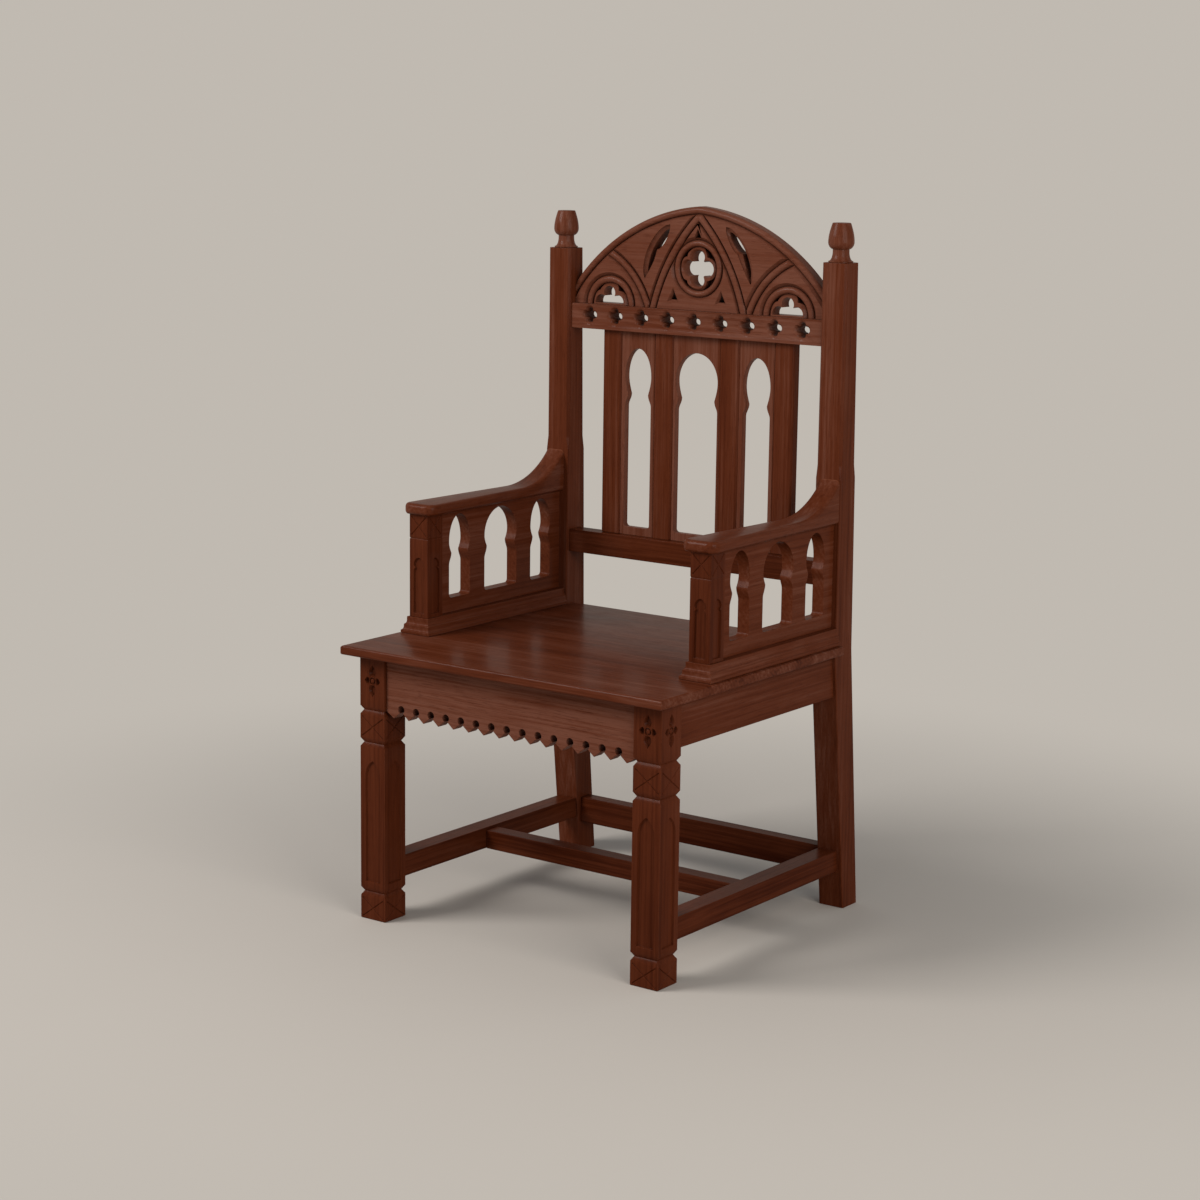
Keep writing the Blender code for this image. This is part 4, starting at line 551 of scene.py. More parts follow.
def soften(item, radius, packed=False):
    """Round the sharp arrises of a piece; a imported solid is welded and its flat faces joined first."""
    if packed:
        weld = item.modifiers.new("weld", "WELD")
        weld.merge_threshold = WELD_GAP
    flat = item.modifiers.new("flat", "DECIMATE")
    flat.decimate_type = "DISSOLVE"
    flat.angle_limit = math.radians(0.5)
    arris = item.modifiers.new("arris", "BEVEL")
    arris.width = radius
    arris.segments = 3
    arris.limit_method = "ANGLE"
    arris.angle_limit = SHARP
    arris.use_clamp_overlap = True
    arris.harden_normals = True


def paint(item, material):
    """Give a piece one material."""
    item.data.materials.clear()
    item.data.materials.append(material)


def dress_packed(node, axis, seed, radius, tone_and_shade=0.0):
    """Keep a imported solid, round its arrises and finish it in wood."""
    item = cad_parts[node]
    soften(item, radius, packed=True)
    item.material_slots[0].material = wood("wood_" + node, axis, seed, tone_and_shade)


def dress_made(item, node, axis, seed, radius=0.0, tone_and_shade=0.0, polished=False, vivid=1.0):
    """Finish a piece that was made here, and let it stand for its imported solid."""
    item.data.shade_smooth()
    item.data.set_sharp_from_angle(angle=SHARP)
    if radius:
        soften(item, radius)
    paint(item, wood("wood_" + item.name, axis, seed, tone_and_shade, polished, vivid))
    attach(item, "root")
    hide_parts(node)


def pointed_panel(width, foot, apex):
    """Outline of a lancet with a square foot and an equilateral pointed head."""
    half = width / 2
    spring = apex - width * math.sin(math.pi / 3)
    head = arc((-half, spring), width, 0, math.pi / 3, 12)
    head[-1] = (0.0, apex)
    return mirrored([(half, foot)] + head)


def upright(node):
    """Half the width of an upright piece, its middle in plan, and its top."""
    low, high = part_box(node)
    return (high.x - low.x) / 2, ((low.x + high.x) / 2, (low.y + high.y) / 2), high.z


def square_post(centre, levels):
    """Upright square bar from (height, half width) levels."""
    rings = []
    for z, half in levels:
        plan = rectangle((centre[0] - half, centre[1] - half), (centre[0] + half, centre[1] + half))
        rings.append([(x, y, z) for x, y in plan])
    return loft(rings)


def post_face(centre, half, dx, dy):
    """One upright face of a square post."""
    origin = (centre[0] + dx * half, centre[1] + dy * half, 0)
    return Face(origin, (-dy, dx, 0), (-dx, -dy, 0))


def splayed(face, outer, inner, depth):
    """Cutter for a panel sunk with splayed sides."""
    return sinking(face, ((outer, -MARGIN), (outer, 0.0), (inner, depth)))


def sunk_lancet(face, width, foot, apex, depth, splay):
    """Cutter for a lancet sunk with splayed sides."""
    inner = pointed_panel(width - 2 * splay, foot + splay, apex - 2 * splay)
    return splayed(face, pointed_panel(width, foot, apex), inner, depth)


# Cusped head of the arm posts' lancets, its heights taken down from the apex
TREFOIL_CUSP = 0.0165
TREFOIL_SHOULDER = 0.0130
TREFOIL_NIB = 0.0034
TREFOIL_CORNER = 0.0004
TREFOIL_RUN = 0.0050


def sunk_trefoil(face, width, foot, apex, depth, splay):
    """Cutter for a lancet with a small cusped head, sunk with splayed sides."""
    head = (apex - TREFOIL_CUSP, apex - TREFOIL_SHOULDER, True, TREFOIL_NIB, TREFOIL_CORNER, TREFOIL_RUN)
    outer = cusped_lancet(width, foot, apex, *head)
    inner = cusped_lancet(width - 2 * splay, foot + splay, apex - 2 * splay, *head)
    return splayed(face, outer, inner, depth)


def incised(face, start, end, width, depth):
    """Cutter for a straight V groove between two points of a face."""
    path = [start, end]
    wide = width / 2 * (depth + MARGIN) / depth
    return moulding(face, path, [(-wide, -MARGIN), (0.0, depth), (wide, -MARGIN)])


# Grooves of the legs and the crossed lines on their blocks
LEG_TOP_GROOVE = 0.3485
LEG_MID_GROOVE = 0.2950
LEG_FOOT_GROOVE = 0.0460
LEG_GROOVE = 0.0140
LEG_GROOVE_DEPTH = 0.0045
LINE_WIDTH = 0.0028
LINE_DEPTH = 0.0014
LINE_SIDE_INSET = 0.0040
LINE_END_INSET = 0.0036

# Eased foot of a leg, and the sunk lancet on its shaft with its distances from the grooves
LEG_EASE = 0.0012
LEG_LANCET_WIDTH = 0.031
LEG_LANCET_DEPTH = 0.0032
LEG_LANCET_SPLAY = 0.0014
LEG_LANCET_FOOT = 0.010
LEG_LANCET_HEAD = 0.022

# Cross of leaves on a leg's top block: reach and width of the leaves, and the boss in its dish
LEAF_ACROSS = (0.0165, 0.0125)
LEAF_UPRIGHT = (0.0265, 0.0140)
LEAF_START = 0.0064
LEAF_FLOOR = 0.55
LEAF_DEPTH = 0.0050
BOSS_RADIUS = 0.0042
BOSS_RISE = 0.0026
DISH_RADIUS = 0.0062
DISH_FLOOR = 0.86
DISH_DEPTH = 0.0022

# The ways that a post's faces look: front and both sides, and all four
THREE_FACES = ((0, -1), (1, 0), (-1, 0))
ALL_ROUND = ((0, -1), (1, 0), (0, 1), (-1, 0))


def carve_saltire(item, faces, half, zs):
    """Two crossed V grooves on each face of a block."""
    reach = half - LINE_SIDE_INSET
    low, high = zs[0] + LINE_END_INSET, zs[1] - LINE_END_INSET
    for way in (1, -1):
        tools = [incised(f, (-way * reach, low), (way * reach, high), LINE_WIDTH, LINE_DEPTH) for f in faces]
        carve(item, gather(tools))


def petal(far, width, turn, centre):
    """Pointed leaf that starts near a centre and runs outwards at an angle."""
    steps = 7
    right, left = [], []
    for i in range(steps + 1):
        t = i / steps
        out = LEAF_START + (far - LEAF_START) * t
        bulge = width / 2 * math.sin(math.pi * (0.12 + 0.88 * t) ** 0.8)
        right.append((out, bulge))
        left.append((out, -bulge))
    outline = left[:-1] + [(far, 0.0)] + list(reversed(right[:-1]))
    c, s = math.cos(turn), math.sin(turn)
    return [(centre[0] + u * c - v * s, centre[1] + u * s + v * c) for u, v in outline]


def leaf_cross(face, z):
    """Cutters for a cross of four leaves round a boss."""
    tools = []
    for turn, leaf in enumerate((LEAF_ACROSS, LEAF_UPRIGHT) * 2):
        outline = petal(*leaf, turn * math.pi / 2, (0.0, z))
        tools.append(splayed(face, outline, grown(outline, centroid(outline), LEAF_FLOOR), LEAF_DEPTH))
    return tools


def boss(face, centre):
    """Low round boss that stands in a hollow of its own."""
    levels = []
    for turn in quarter(6)[:-1]:
        ring = circle(centre, BOSS_RADIUS * math.cos(turn), 20)
        levels.append((ring, DISH_DEPTH - BOSS_RISE * math.sin(turn)))
    return sinking(face, [(levels[0][0], LEAF_DEPTH)] + levels)


def front_leg(name, node, side, seed):
    """Square leg with V grooves, sunk lancets, crossed grooves and a cross of leaves on the top block."""
    half, centre, top = upright(node)
    spread = LEG_GROOVE / 2
    levels = [(0.0, half - LEG_EASE), (LEG_EASE, half)]
    for groove in (LEG_FOOT_GROOVE, LEG_MID_GROOVE, LEG_TOP_GROOVE):
        levels += [(groove - spread, half), (groove, half - LEG_GROOVE_DEPTH), (groove + spread, half)]
    levels.append((top, half))
    item = new_object(name, square_post(centre, levels))
    faces = {way: post_face(centre, half, *way) for way in ALL_ROUND}
    foot, apex = LEG_FOOT_GROOVE + spread + LEG_LANCET_FOOT, LEG_MID_GROOVE - spread - LEG_LANCET_HEAD
    lancet = (LEG_LANCET_WIDTH, foot, apex, LEG_LANCET_DEPTH, LEG_LANCET_SPLAY)
    tools = [sunk_lancet(faces[way], *lancet) for way in THREE_FACES]
    middle = (0.0, (top + LEG_TOP_GROOVE + spread) / 2)
    carved = [faces[way] for way in ((0, -1), (side, 0))]
    for face in carved:
        tools += leaf_cross(face, middle[1])
    cut(item, gather(tools))
    dish = circle(middle, DISH_RADIUS, 24)
    for face in carved:
        cut(item, splayed(face, dish, grown(dish, middle, DISH_FLOOR), DISH_DEPTH))
        carve(item, boss(face, middle), "UNION")
    carve_saltire(item, faces.values(), half, (LEG_MID_GROOVE + spread, LEG_TOP_GROOVE - spread))
    carve_saltire(item, faces.values(), half, (0.0, LEG_FOOT_GROOVE - spread))
    edges = bpy.context.scene.chair_edges
    # The legs' lowered tone is painted shade of their fronts and shafts
    dress_made(item, node, "Z", seed, edges.carving, tone_and_shade=-0.17, vivid=0.7)


# Arm post: groove under the cap, and the lancet's size and its distances from the plinth and the arm
CAP_HEIGHT = 0.040
CAP_GROOVE = 0.0018
CAP_GROOVE_DEPTH = 0.0009
POST_LANCET_WIDTH = 0.0215
POST_LANCET_FOOT = 0.006
POST_LANCET_HEAD = 0.071
POST_LANCET_DEPTH = 0.0030
POST_LANCET_SPLAY = 0.0010


def arm_post(name, node, seed):
    """Square arm post with sunk lancets and a cap with crossed grooves."""
    half, centre, _ = upright(node)
    foot, head = BASE_HIGH.z + FIT, ARM_LOW.z - FIT
    groove, cap = ARM_LOW.z - CAP_HEIGHT, ARM_LOW.z - CAP_HEIGHT + CAP_GROOVE
    levels = [
        (foot, half), (groove - CAP_GROOVE, half), (groove, half - CAP_GROOVE_DEPTH), (cap, half), (head, half)]
    item = new_object(name, square_post(centre, levels))
    faces = [post_face(centre, half, *way) for way in THREE_FACES]
    lancet = (
        POST_LANCET_WIDTH, foot + POST_LANCET_FOOT, ARM_LOW.z - POST_LANCET_HEAD, POST_LANCET_DEPTH,
        POST_LANCET_SPLAY)
    carve(item, gather([sunk_trefoil(face, *lancet) for face in faces]))
    carve_saltire(item, faces, half, (cap, head))
    edges = bpy.context.scene.chair_edges
    # The posts' lowered tone is painted shade of their front faces
    dress_made(item, node, "Z", seed, edges.carving, tone_and_shade=-0.24, vivid=0.6)


def cove(start, low, end, high):
    """Quarter hollow of a moulding, as (flare, rise) pairs from foot to head."""
    points = []
    for turn in quarter(9):
        points.append((start + (end - start) * math.sin(turn), low + (high - low) * (1 - math.cos(turn))))
    return points


# How far a plinth's fillets flare, and its quirks and eased edges
BASE_FOOT = 0.0105
BASE_STEP = 0.0068
BASE_TOP = 0.0032
BASE_QUIRK = 0.0009
BASE_EASE = 0.0006


def arm_base(name, node, side, seed):
    """Moulded plinth: two hollows between fillets, with a fine quirk over each fillet."""
    height = BASE_HIGH.z - BASE_LOW.z
    profile = [(BASE_FOOT - BASE_EASE, 0.0), (BASE_FOOT, BASE_EASE)]
    profile += [(BASE_FOOT, 0.0044), (BASE_FOOT - BASE_QUIRK, 0.0051)]
    profile += cove(BASE_FOOT - BASE_QUIRK, 0.0054, BASE_STEP, 0.0118)
    profile += [(BASE_STEP, 0.0142), (BASE_STEP - BASE_QUIRK, 0.0149)]
    profile += cove(BASE_STEP - BASE_QUIRK, 0.0152, BASE_TOP, height - 0.0058)
    profile += [(BASE_TOP, height - BASE_EASE), (BASE_TOP - BASE_EASE, height)]
    half = (ARM_POST_HIGH.x - ARM_POST_LOW.x) / 2
    x = side * ARM_X
    rings = []
    for flare, rise in profile:
        reach, front = half + flare, ARM_POST_LOW.y - flare
        plan = rectangle((x - reach, front), (x + reach, BASE_HIGH.y))
        rings.append([(u, v, BASE_LOW.z + rise) for u, v in plan])
    item = new_object(name, loft(rings))
    dress_made(item, node, "Y", seed, bpy.context.scene.chair_edges.carving)


def rounded_rings(radius, steps):
    """(inset, drop) pairs of a quarter round, from its flat to its side."""
    return [(radius * (1 - math.sin(turn)), radius * (1 - math.cos(turn))) for turn in quarter(steps)]


# Rounding of the seat's lower edge, as a share of the upper one
SEAT_UNDER = 0.7


def seat_board(name, node, seed):
    """Seat board with a rounded edge, notched round the posts."""
    edges = bpy.context.scene.chair_edges
    tongue, notch = POST_INNER - FIT, POST_Y - FIT
    half = [(SEAT_HIGH.x, SEAT_LOW.y), (SEAT_HIGH.x, notch), (tongue, notch), (tongue, SEAT_HIGH.y)]
    plan = half + [(-x, y) for x, y in reversed(half)]
    rings = []
    for inset, drop in rounded_rings(edges.seat * SEAT_UNDER, 4):
        rings.append([(x, y, SEAT_LOW.z + drop) for x, y in beside(plan, inset, True)])
    for inset, drop in reversed(rounded_rings(edges.seat, 6)):
        rings.append([(x, y, SEAT_HIGH.z - drop) for x, y in beside(plan, inset, True)])
    item = new_object(name, loft(rings))
    dress_made(item, node, "X", seed, polished=True, vivid=1.5)


# Arm: its sweep up to the post, the height of its flat, its half widths and the rounding of its front corners
ARM_SWEEP_RUN = 0.116
ARM_SWEEP_RISE = 0.053
ARM_TOP = 0.670
ARM_FRONT_OUTER = 0.0300
ARM_FRONT_INNER = 0.0345
ARM_REAR_HALF = 0.0185
ARM_CORNER = 0.0180
ARM_LEAST_ROUND = 0.0002


def shortfall(radius, run):
    """How far a round corner of that radius stays behind at a distance from its start."""
    return radius - math.sqrt(radius ** 2 - max(radius - run, 0.0) ** 2)


def arm_section(halves, low, high, round_low, round_high):
    """Cross-section of an arm: four rounded corners, as (across, height) points."""
    points = []
    for way, level, radius, start in (
        (1, low, round_low, -math.pi / 2), (1, high, round_high, 0.0),
        (-1, high, round_high, math.pi / 2), (-1, low, round_low, math.pi),
    ):
        half = halves[0] if way < 0 else halves[1]
        centre = (way * (half - radius), level + radius if level == low else level - radius)
        points += arc(centre, radius, start, start + math.pi / 2, 6)
    return points


def arm(name, node, side, seed):
    """Arm with rounded front corners and edges that sweeps up in an arc to the post."""
    edges = bpy.context.scene.chair_edges
    front, rear, under = ARM_LOW.y, POST_Y - FIT, ARM_LOW.z
    radius = (ARM_SWEEP_RUN ** 2 + ARM_SWEEP_RISE ** 2) / (2 * ARM_SWEEP_RISE)
    start = rear - ARM_SWEEP_RUN
    stations = [front + ARM_CORNER * (1 - math.cos(turn)) for turn in quarter(14)]
    stations += [front + ARM_CORNER + (start - front - ARM_CORNER) * i / 8 for i in range(1, 9)]
    stations += [start + ARM_SWEEP_RUN * i / 28 for i in range(1, 29)]
    rings = []
    for y in stations:
        run = y - front
        halves = []
        for wide in (ARM_FRONT_OUTER, ARM_FRONT_INNER):
            half = wide + (ARM_REAR_HALF - wide) * run / (rear - front)
            halves.append(half - shortfall(ARM_CORNER, run))
        if side > 0:
            halves.reverse()
        lift, drop = shortfall(edges.arm_under, run), shortfall(edges.arm, run)
        top = ARM_TOP + shortfall(radius, radius - max(y - start, 0.0))
        rounds = [max(edges.arm_under - lift, ARM_LEAST_ROUND), max(edges.arm - drop, ARM_LEAST_ROUND)]
        section = arm_section(halves, under + lift, top - drop, *rounds)
        rings.append([(side * ARM_X + x, y, z) for x, z in section])
    item = new_object(name, loft(rings))
    dress_made(item, node, "Y", seed, polished=True)


# Finial: radius and height of the points between which its profile swells
FINIAL_FOOT = (0.0198, 0.0020)
FINIAL_NECK = (0.0133, 0.0165)
FINIAL_COLLAR = (0.0133, 0.0205)
FINIAL_BELLY = (0.0209, 0.0315)
FINIAL_TOP = (0.0146, 0.0620)


def swell(start, end, steps, pace):
    """Points between two (radius, height) points; the pace turns an angle into two shares of the way."""
    shares = [pace(turn) for turn in quarter(steps)]
    return [(start[0] + (end[0] - start[0]) * a, start[1] + (end[1] - start[1]) * b) for a, b in shares]


def finial(name, node, seed):
    """Turned finial: spreading foot, short neck, and a round-bottomed barrel with a flat top."""
    _, axis, _ = upright(node)
    foot = POST_HIGH.z + FIT
    profile = [(0.0060, 0.0), (0.0190, 0.0), (0.0198, 0.0006)]
    profile += swell(FINIAL_FOOT, FINIAL_NECK, 14, lambda turn: (math.sin(turn), 1 - math.cos(turn)))
    profile += swell(FINIAL_COLLAR, FINIAL_BELLY, 16, lambda turn: (math.sin(turn) ** 1.3, 1 - math.cos(turn)))
    profile += swell(FINIAL_BELLY, FINIAL_TOP, 16, lambda turn: (1 - math.cos(turn), turn / (math.pi / 2)))[1:-1]
    profile += [(0.0149, 0.0610), (0.0146, 0.0616), (0.0138, 0.0620), (0.0040, 0.0620)]
    item = new_object(name, turned([(r, foot + z) for r, z in profile], axis, 56))
    dress_made(item, node, "Z", seed, tone_and_shade=0.22, polished=True)


# Apron: how many tongues, the keyholes' radius, height over the tongues' points, and width of the slots under them
TONGUES = 16
KEYHOLE_RADIUS = 0.0064
KEYHOLE_RISE = 0.0158
KEYHOLE_NECK = 0.0064


def front_apron(name, node, seed):
    """Apron whose lower edge is a row of pointed tongues parted by keyholes."""
    low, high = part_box(node)
    reach = LEG_LOW.x - FIT
    pitch = 2 * reach / TONGUES
    hole_z = low.z + KEYHOLE_RISE
    gap = math.asin(KEYHOLE_NECK / 2 / KEYHOLE_RADIUS)
    start = -math.pi / 2 - gap
    outline = [(-reach, high.z), (-reach, hole_z - KEYHOLE_RADIUS)]
    for i in range(TONGUES):
        left = -reach + i * pitch
        outline.append((left + pitch / 2, low.z))
        if i < TONGUES - 1:
            outline += arc((left + pitch, hole_z), KEYHOLE_RADIUS, start, start - 2 * math.pi + 2 * gap, 22)
    outline += [(reach, hole_z - KEYHOLE_RADIUS), (reach, high.z)]
    item = new_object(name, prism(front_face(0.0), outline, low.y, high.y))
    dress_made(item, node, "X", seed, radius=0.0009, tone_and_shade=0.42, vivid=1.4)


# Nib of a lancet, rounding of its foot, and the length of the swell below the nib
LANCET_CUSP = 0.006
LANCET_CORNER = 0.006
LANCET_CUSP_RUN = 0.020


def cusped_lancet(
    width, foot, apex, cusp, shoulder, pointed, nib=LANCET_CUSP, corner=LANCET_CORNER, run=LANCET_CUSP_RUN,
):
    """Cusped lancet: rounded foot corners, a nib on each side, and a pointed or round head."""
    half, steps = width / 2, 8
    points = arc((half - corner, foot + corner), corner, -math.pi / 2, 0, 8)
    for i, turn in enumerate(quarter(steps)[:-1]):
        inset = nib * (1 - math.cos(math.pi / 2 * math.sin(turn)))
        points.append((half - inset, cusp - run * (1 - i / steps)))
    for i, turn in enumerate(quarter(steps)[:-1]):
        points.append((half - nib * (1 - math.sin(turn)), cusp + (shoulder - cusp) * i / steps))
    head = apex - shoulder
    if pointed:
        radius = (half ** 2 + head ** 2) / (2 * half)
        points += arc((half - radius, shoulder), radius, 0, math.asin(head / radius), 16)
    else:
        points += [(half * math.cos(turn), shoulder + head * math.sin(turn)) for turn in quarter(18)]
    points[-1] = (0.0, apex)
    return mirrored(points)


# Arm panel: widths of the side and middle lancets, their spacing, how far they stay from plinth and arm, and the
# heights of cusp and shoulder as shares of the opening
ARM_SIDE_LANCET = 0.054
ARM_MIDDLE_LANCET = 0.086
ARM_LANCET_PITCH = 0.1085
ARM_LANCET_FOOT = 0.024
ARM_LANCET_HEAD = 0.008
ARM_CUSP_SHARE = 0.545
ARM_SHOULDER_SHARE = 0.675

# Back panels: wood left beside each opening, tongue in the grooves, the opening's sill, its apex and cusp below
# the frieze, its shoulder over the cusp, and the arris of arm and back panels
PANEL_MARGINS = (("left", 0.0075), ("centre", 0.0045), ("right", 0.0075))
PANEL_TONGUE = 0.005
PANEL_SILL = 0.0137
PANEL_APEX = 0.029
PANEL_CUSP = 0.106
PANEL_SHOULDER = 0.030
PANEL_ARRIS = 0.0016


def arm_panel(name, node, side, seed):
    """Thick panel pierced with three cusped lancets, the middle one pointed."""
    half, _, _ = upright(node)
    ys = (ARM_POST_HIGH.y + FIT, POST_Y - FIT)
    face = Face((side * ARM_X, 0, 0), (0, 1, 0), (1, 0, 0))
    foot, apex = BASE_HIGH.z + ARM_LANCET_FOOT, ARM_LOW.z - ARM_LANCET_HEAD
    cusp, shoulder = foot + (apex - foot) * ARM_CUSP_SHARE, foot + (apex - foot) * ARM_SHOULDER_SHARE
    holes = []
    for step, width in ((-1, ARM_SIDE_LANCET), (0, ARM_MIDDLE_LANCET), (1, ARM_SIDE_LANCET)):
        outline = cusped_lancet(width, foot, apex, cusp, shoulder, step == 0)
        holes.append(shifted(outline, sum(ys) / 2 + step * ARM_LANCET_PITCH))
    outline = rectangle((ys[0], BASE_HIGH.z + FIT), (ys[1], ARM_LOW.z - FIT))
    item = new_object(name, prism(face, outline, -half, half, holes))
    dress_made(item, node, "Y", seed, PANEL_ARRIS)


def back_panel(name, node, margin, seed):
    """Panel between two stiles, pierced with one tall cusped lancet."""
    low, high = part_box(node)
    xs = (low.x + PANEL_TONGUE, high.x - PANEL_TONGUE)
    zs = (low.z + PANEL_TONGUE, high.z - PANEL_TONGUE)
    foot, apex, cusp = zs[0] + PANEL_SILL, FRIEZE_LOW.z - PANEL_APEX, FRIEZE_LOW.z - PANEL_CUSP
    width = xs[1] - xs[0] + 2 * FIT - 2 * margin
    opening = cusped_lancet(width, foot, apex, cusp, cusp + PANEL_SHOULDER, False)
    hole = shifted(opening, sum(xs) / 2)
    outline = rectangle((xs[0], zs[0]), (xs[1], zs[1]))
    item = new_object(name, prism(front_face(0.0), outline, low.y, high.y, [hole]))
    dress_made(item, node, "Z", seed, PANEL_ARRIS, tone_and_shade=0.32)


def foiled(centre, radius, offset, steps):
    """Quatrefoil outline: four round lobes that meet in cusps."""
    meet = (offset + math.sqrt(2 * radius ** 2 - offset ** 2)) / 2
    spread = math.atan2(meet, meet - offset)
    outline = []
    for i in range(4):
        turn = i * math.pi / 2
        lobe = (centre[0] + offset * math.cos(turn), centre[1] + offset * math.sin(turn))
        outline += arc(lobe, radius, turn - spread, turn + spread, steps)[:-1]
    return outline


# Frieze: number and spacing of the foils, their lobes, and how far the tongue under them lifts their line
FRIEZE_FOILS = 9
FRIEZE_PITCH = 0.0529
FRIEZE_LOBE = 0.0059
FRIEZE_OFFSET = 0.0067
FRIEZE_LIFT = 0.005

# Dish round a foil of the frieze: its rim and slope as multiples of the foil, and the depths of slope and foot
FRIEZE_RIM = 1.40
FRIEZE_SLOPE = 1.17
FRIEZE_SLOPE_DEPTH = 0.0014
FRIEZE_DISH_DEPTH = 0.0042


def frieze_rail(name, node, seed):
    """Rail pierced with a row of quatrefoils in dished surrounds."""
    low, high = FRIEZE_LOW, FRIEZE_HIGH
    reach = POST_INNER - FIT
    item = new_object(name, box(Vector((-reach, low.y, low.z)), Vector((reach, high.y, high.z))))
    face = front_face(low.y)
    middle = (low.z + FRIEZE_LIFT + high.z) / 2
    holes, dishes = [], []
    for i in range(FRIEZE_FOILS):
        centre = ((i - FRIEZE_FOILS // 2) * FRIEZE_PITCH, middle)
        outline = foiled(centre, FRIEZE_LOBE, FRIEZE_OFFSET, 10)
        holes.append(prism(face, outline, -MARGIN, high.y - low.y + MARGIN))
        rim, slope = grown(outline, centre, FRIEZE_RIM), grown(outline, centre, FRIEZE_SLOPE)
        dish = ((rim, -MARGIN), (rim, 0.0), (slope, FRIEZE_SLOPE_DEPTH), (outline, FRIEZE_DISH_DEPTH))
        dishes.append(sinking(face, dish))
    cut(item, gather(holes))
    cut(item, gather(dishes))
    dress_made(item, node, "X", seed, radius=0.0008, tone_and_shade=0.25, polished=True)


# Crest: its arch, and the places and sizes of its beads, foils and pockets
CREST_FOOT = CREST_LOW.z
CREST_APEX = CREST_HIGH.z
CREST_BELOW = CREST_FOOT - 0.012
CREST_SHOULDER = 0.0365
CREST_RADIUS = 0.355
GABLE_FOOT = 0.0930
GABLE_DROP = 0.0163
GABLE_BULGE = 0.0140
ROUNDEL = (0.0, CREST_FOOT + 0.0685)
ROUNDEL_RADIUS = 0.0415
ROUNDEL_FOIL = 0.0125
ROUNDEL_OFFSET = 0.0168
ROUNDEL_BORDER = 0.0072
LUNETTE_INSET = 0.0720
LUNETTE_RADIUS = 0.0430
LUNETTE_BORDER = 0.0075
LUNETTE_SILL = 0.0025
SHANK_FOOT_INSET = 0.1530
SHANK_HEAD_INSET = 0.0600
SHANK_RISE = 0.0920
SHANK_BULGE = 0.0170


def crest_arc(inset, reach, steps):
    """Right half of the crest's pointed arch, from the post up to the apex, set in by a distance."""
    shoulder = Vector((POST_INNER, CREST_FOOT + CREST_SHOULDER))
    apex = Vector((0.0, CREST_APEX))
    chord = apex - shoulder
    across = Vector((-chord.y, chord.x)).normalized()
    centre = (apex + shoulder) / 2 + across * math.sqrt(CREST_RADIUS ** 2 - chord.length_squared / 4)
    radius = CREST_RADIUS - inset
    points = arc(centre, radius, math.acos((reach - centre.x) / radius), math.acos(-centre.x / radius), steps)
    points[-1] = (0.0, points[-1][1])
    return points


def both_ways(half):
    """A path that runs up one half and down its reflection."""
    return half + [(-x, z) for x, z in reversed(half[:-1])]


def roll(width, rise, root):
    """Section of a round roll."""
    angles = [math.pi * i / 12 for i in range(13)]
    return [(-width / 2 * math.cos(a), root - (root + rise) * math.sin(a)) for a in angles]


def channel(width, quirk, depth):
    """Section of the hollow that a roll stands in."""
    half = width / 2
    return [(-half - quirk, -MARGIN), (-half - quirk, 0.0), (-half, depth), (half, depth),
            (half + quirk, 0.0), (half + quirk, -MARGIN)]


def crest_beads(sizes):
    """Every bead of the crest, the lowest first: path, width, slope beside it, whether it closes."""
    beads = []
    dip = sizes.lunette / LUNETTE_RADIUS
    for _, side in SIDES:
        middle = side * (POST_INNER - LUNETTE_INSET)
        bow = arc((middle, CREST_FOOT), LUNETTE_RADIUS, -dip, math.pi + dip, 40)
        beads.append((bow, sizes.lunette, sizes.quirk, False))
        foot = (side * (POST_INNER - SHANK_FOOT_INSET), CREST_BELOW)
        head = (side * (POST_INNER - SHANK_HEAD_INSET), CREST_FOOT + SHANK_RISE)
        beads.append((bend(foot, head, side * SHANK_BULGE, 28), sizes.shank, sizes.quirk, False))
    gable = bend((GABLE_FOOT, CREST_BELOW), (0.0, CREST_APEX - GABLE_DROP), -GABLE_BULGE, 28)
    beads.append((both_ways(gable), sizes.gable, sizes.gable_quirk, False))
    beads.append((circle(ROUNDEL, ROUNDEL_RADIUS, 72), sizes.ring, sizes.quirk, True))
    rim = crest_arc(sizes.rim / 2, POST_INNER + sizes.rim, 44)
    beads.append((both_ways(rim), sizes.rim, sizes.quirk, False))
    return beads


def crossings(a, ra, b, rb):
    """The two points where two circles cross: left, then right, of the way from the first centre."""
    gap = Vector(b) - Vector(a)
    along = (gap.length_squared + ra ** 2 - rb ** 2) / (2 * gap.length)
    rise = math.sqrt(ra ** 2 - along ** 2)
    unit = gap.normalized()
    base = Vector(a) + unit * along
    left = Vector((-unit.y, unit.x)) * rise
    return base + left, base - left


def arc_between(centre, start, end, steps):
    """Points on a circle from one point to another, the short way round."""
    first = math.atan2(start[1] - centre[1], start[0] - centre[0])
    last = math.atan2(end[1] - centre[1], end[0] - centre[0])
    turn = (last - first + math.pi) % (2 * math.pi) - math.pi
    return arc(centre, (Vector(start) - Vector(centre)).length, first, first + turn, steps)


def foil_pocket(well, well_radius, lobe_a, radius_a, lobe_b, radius_b):
    """Sunk corner between two neighbouring foils inside a round well."""
    from_a = crossings(well, well_radius, lobe_a, radius_a)[0]
    to_b = crossings(well, well_radius, lobe_b, radius_b)[1]
    meet = max(crossings(lobe_a, radius_a, lobe_b, radius_b), key=lambda point: (point - Vector(well)).length)
    outline = arc_between(well, from_a, to_b, 12)[:-1]
    outline += arc_between(lobe_b, to_b, meet, 7)[:-1]
    outline += arc_between(lobe_a, meet, from_a, 7)[:-1]
    return outline


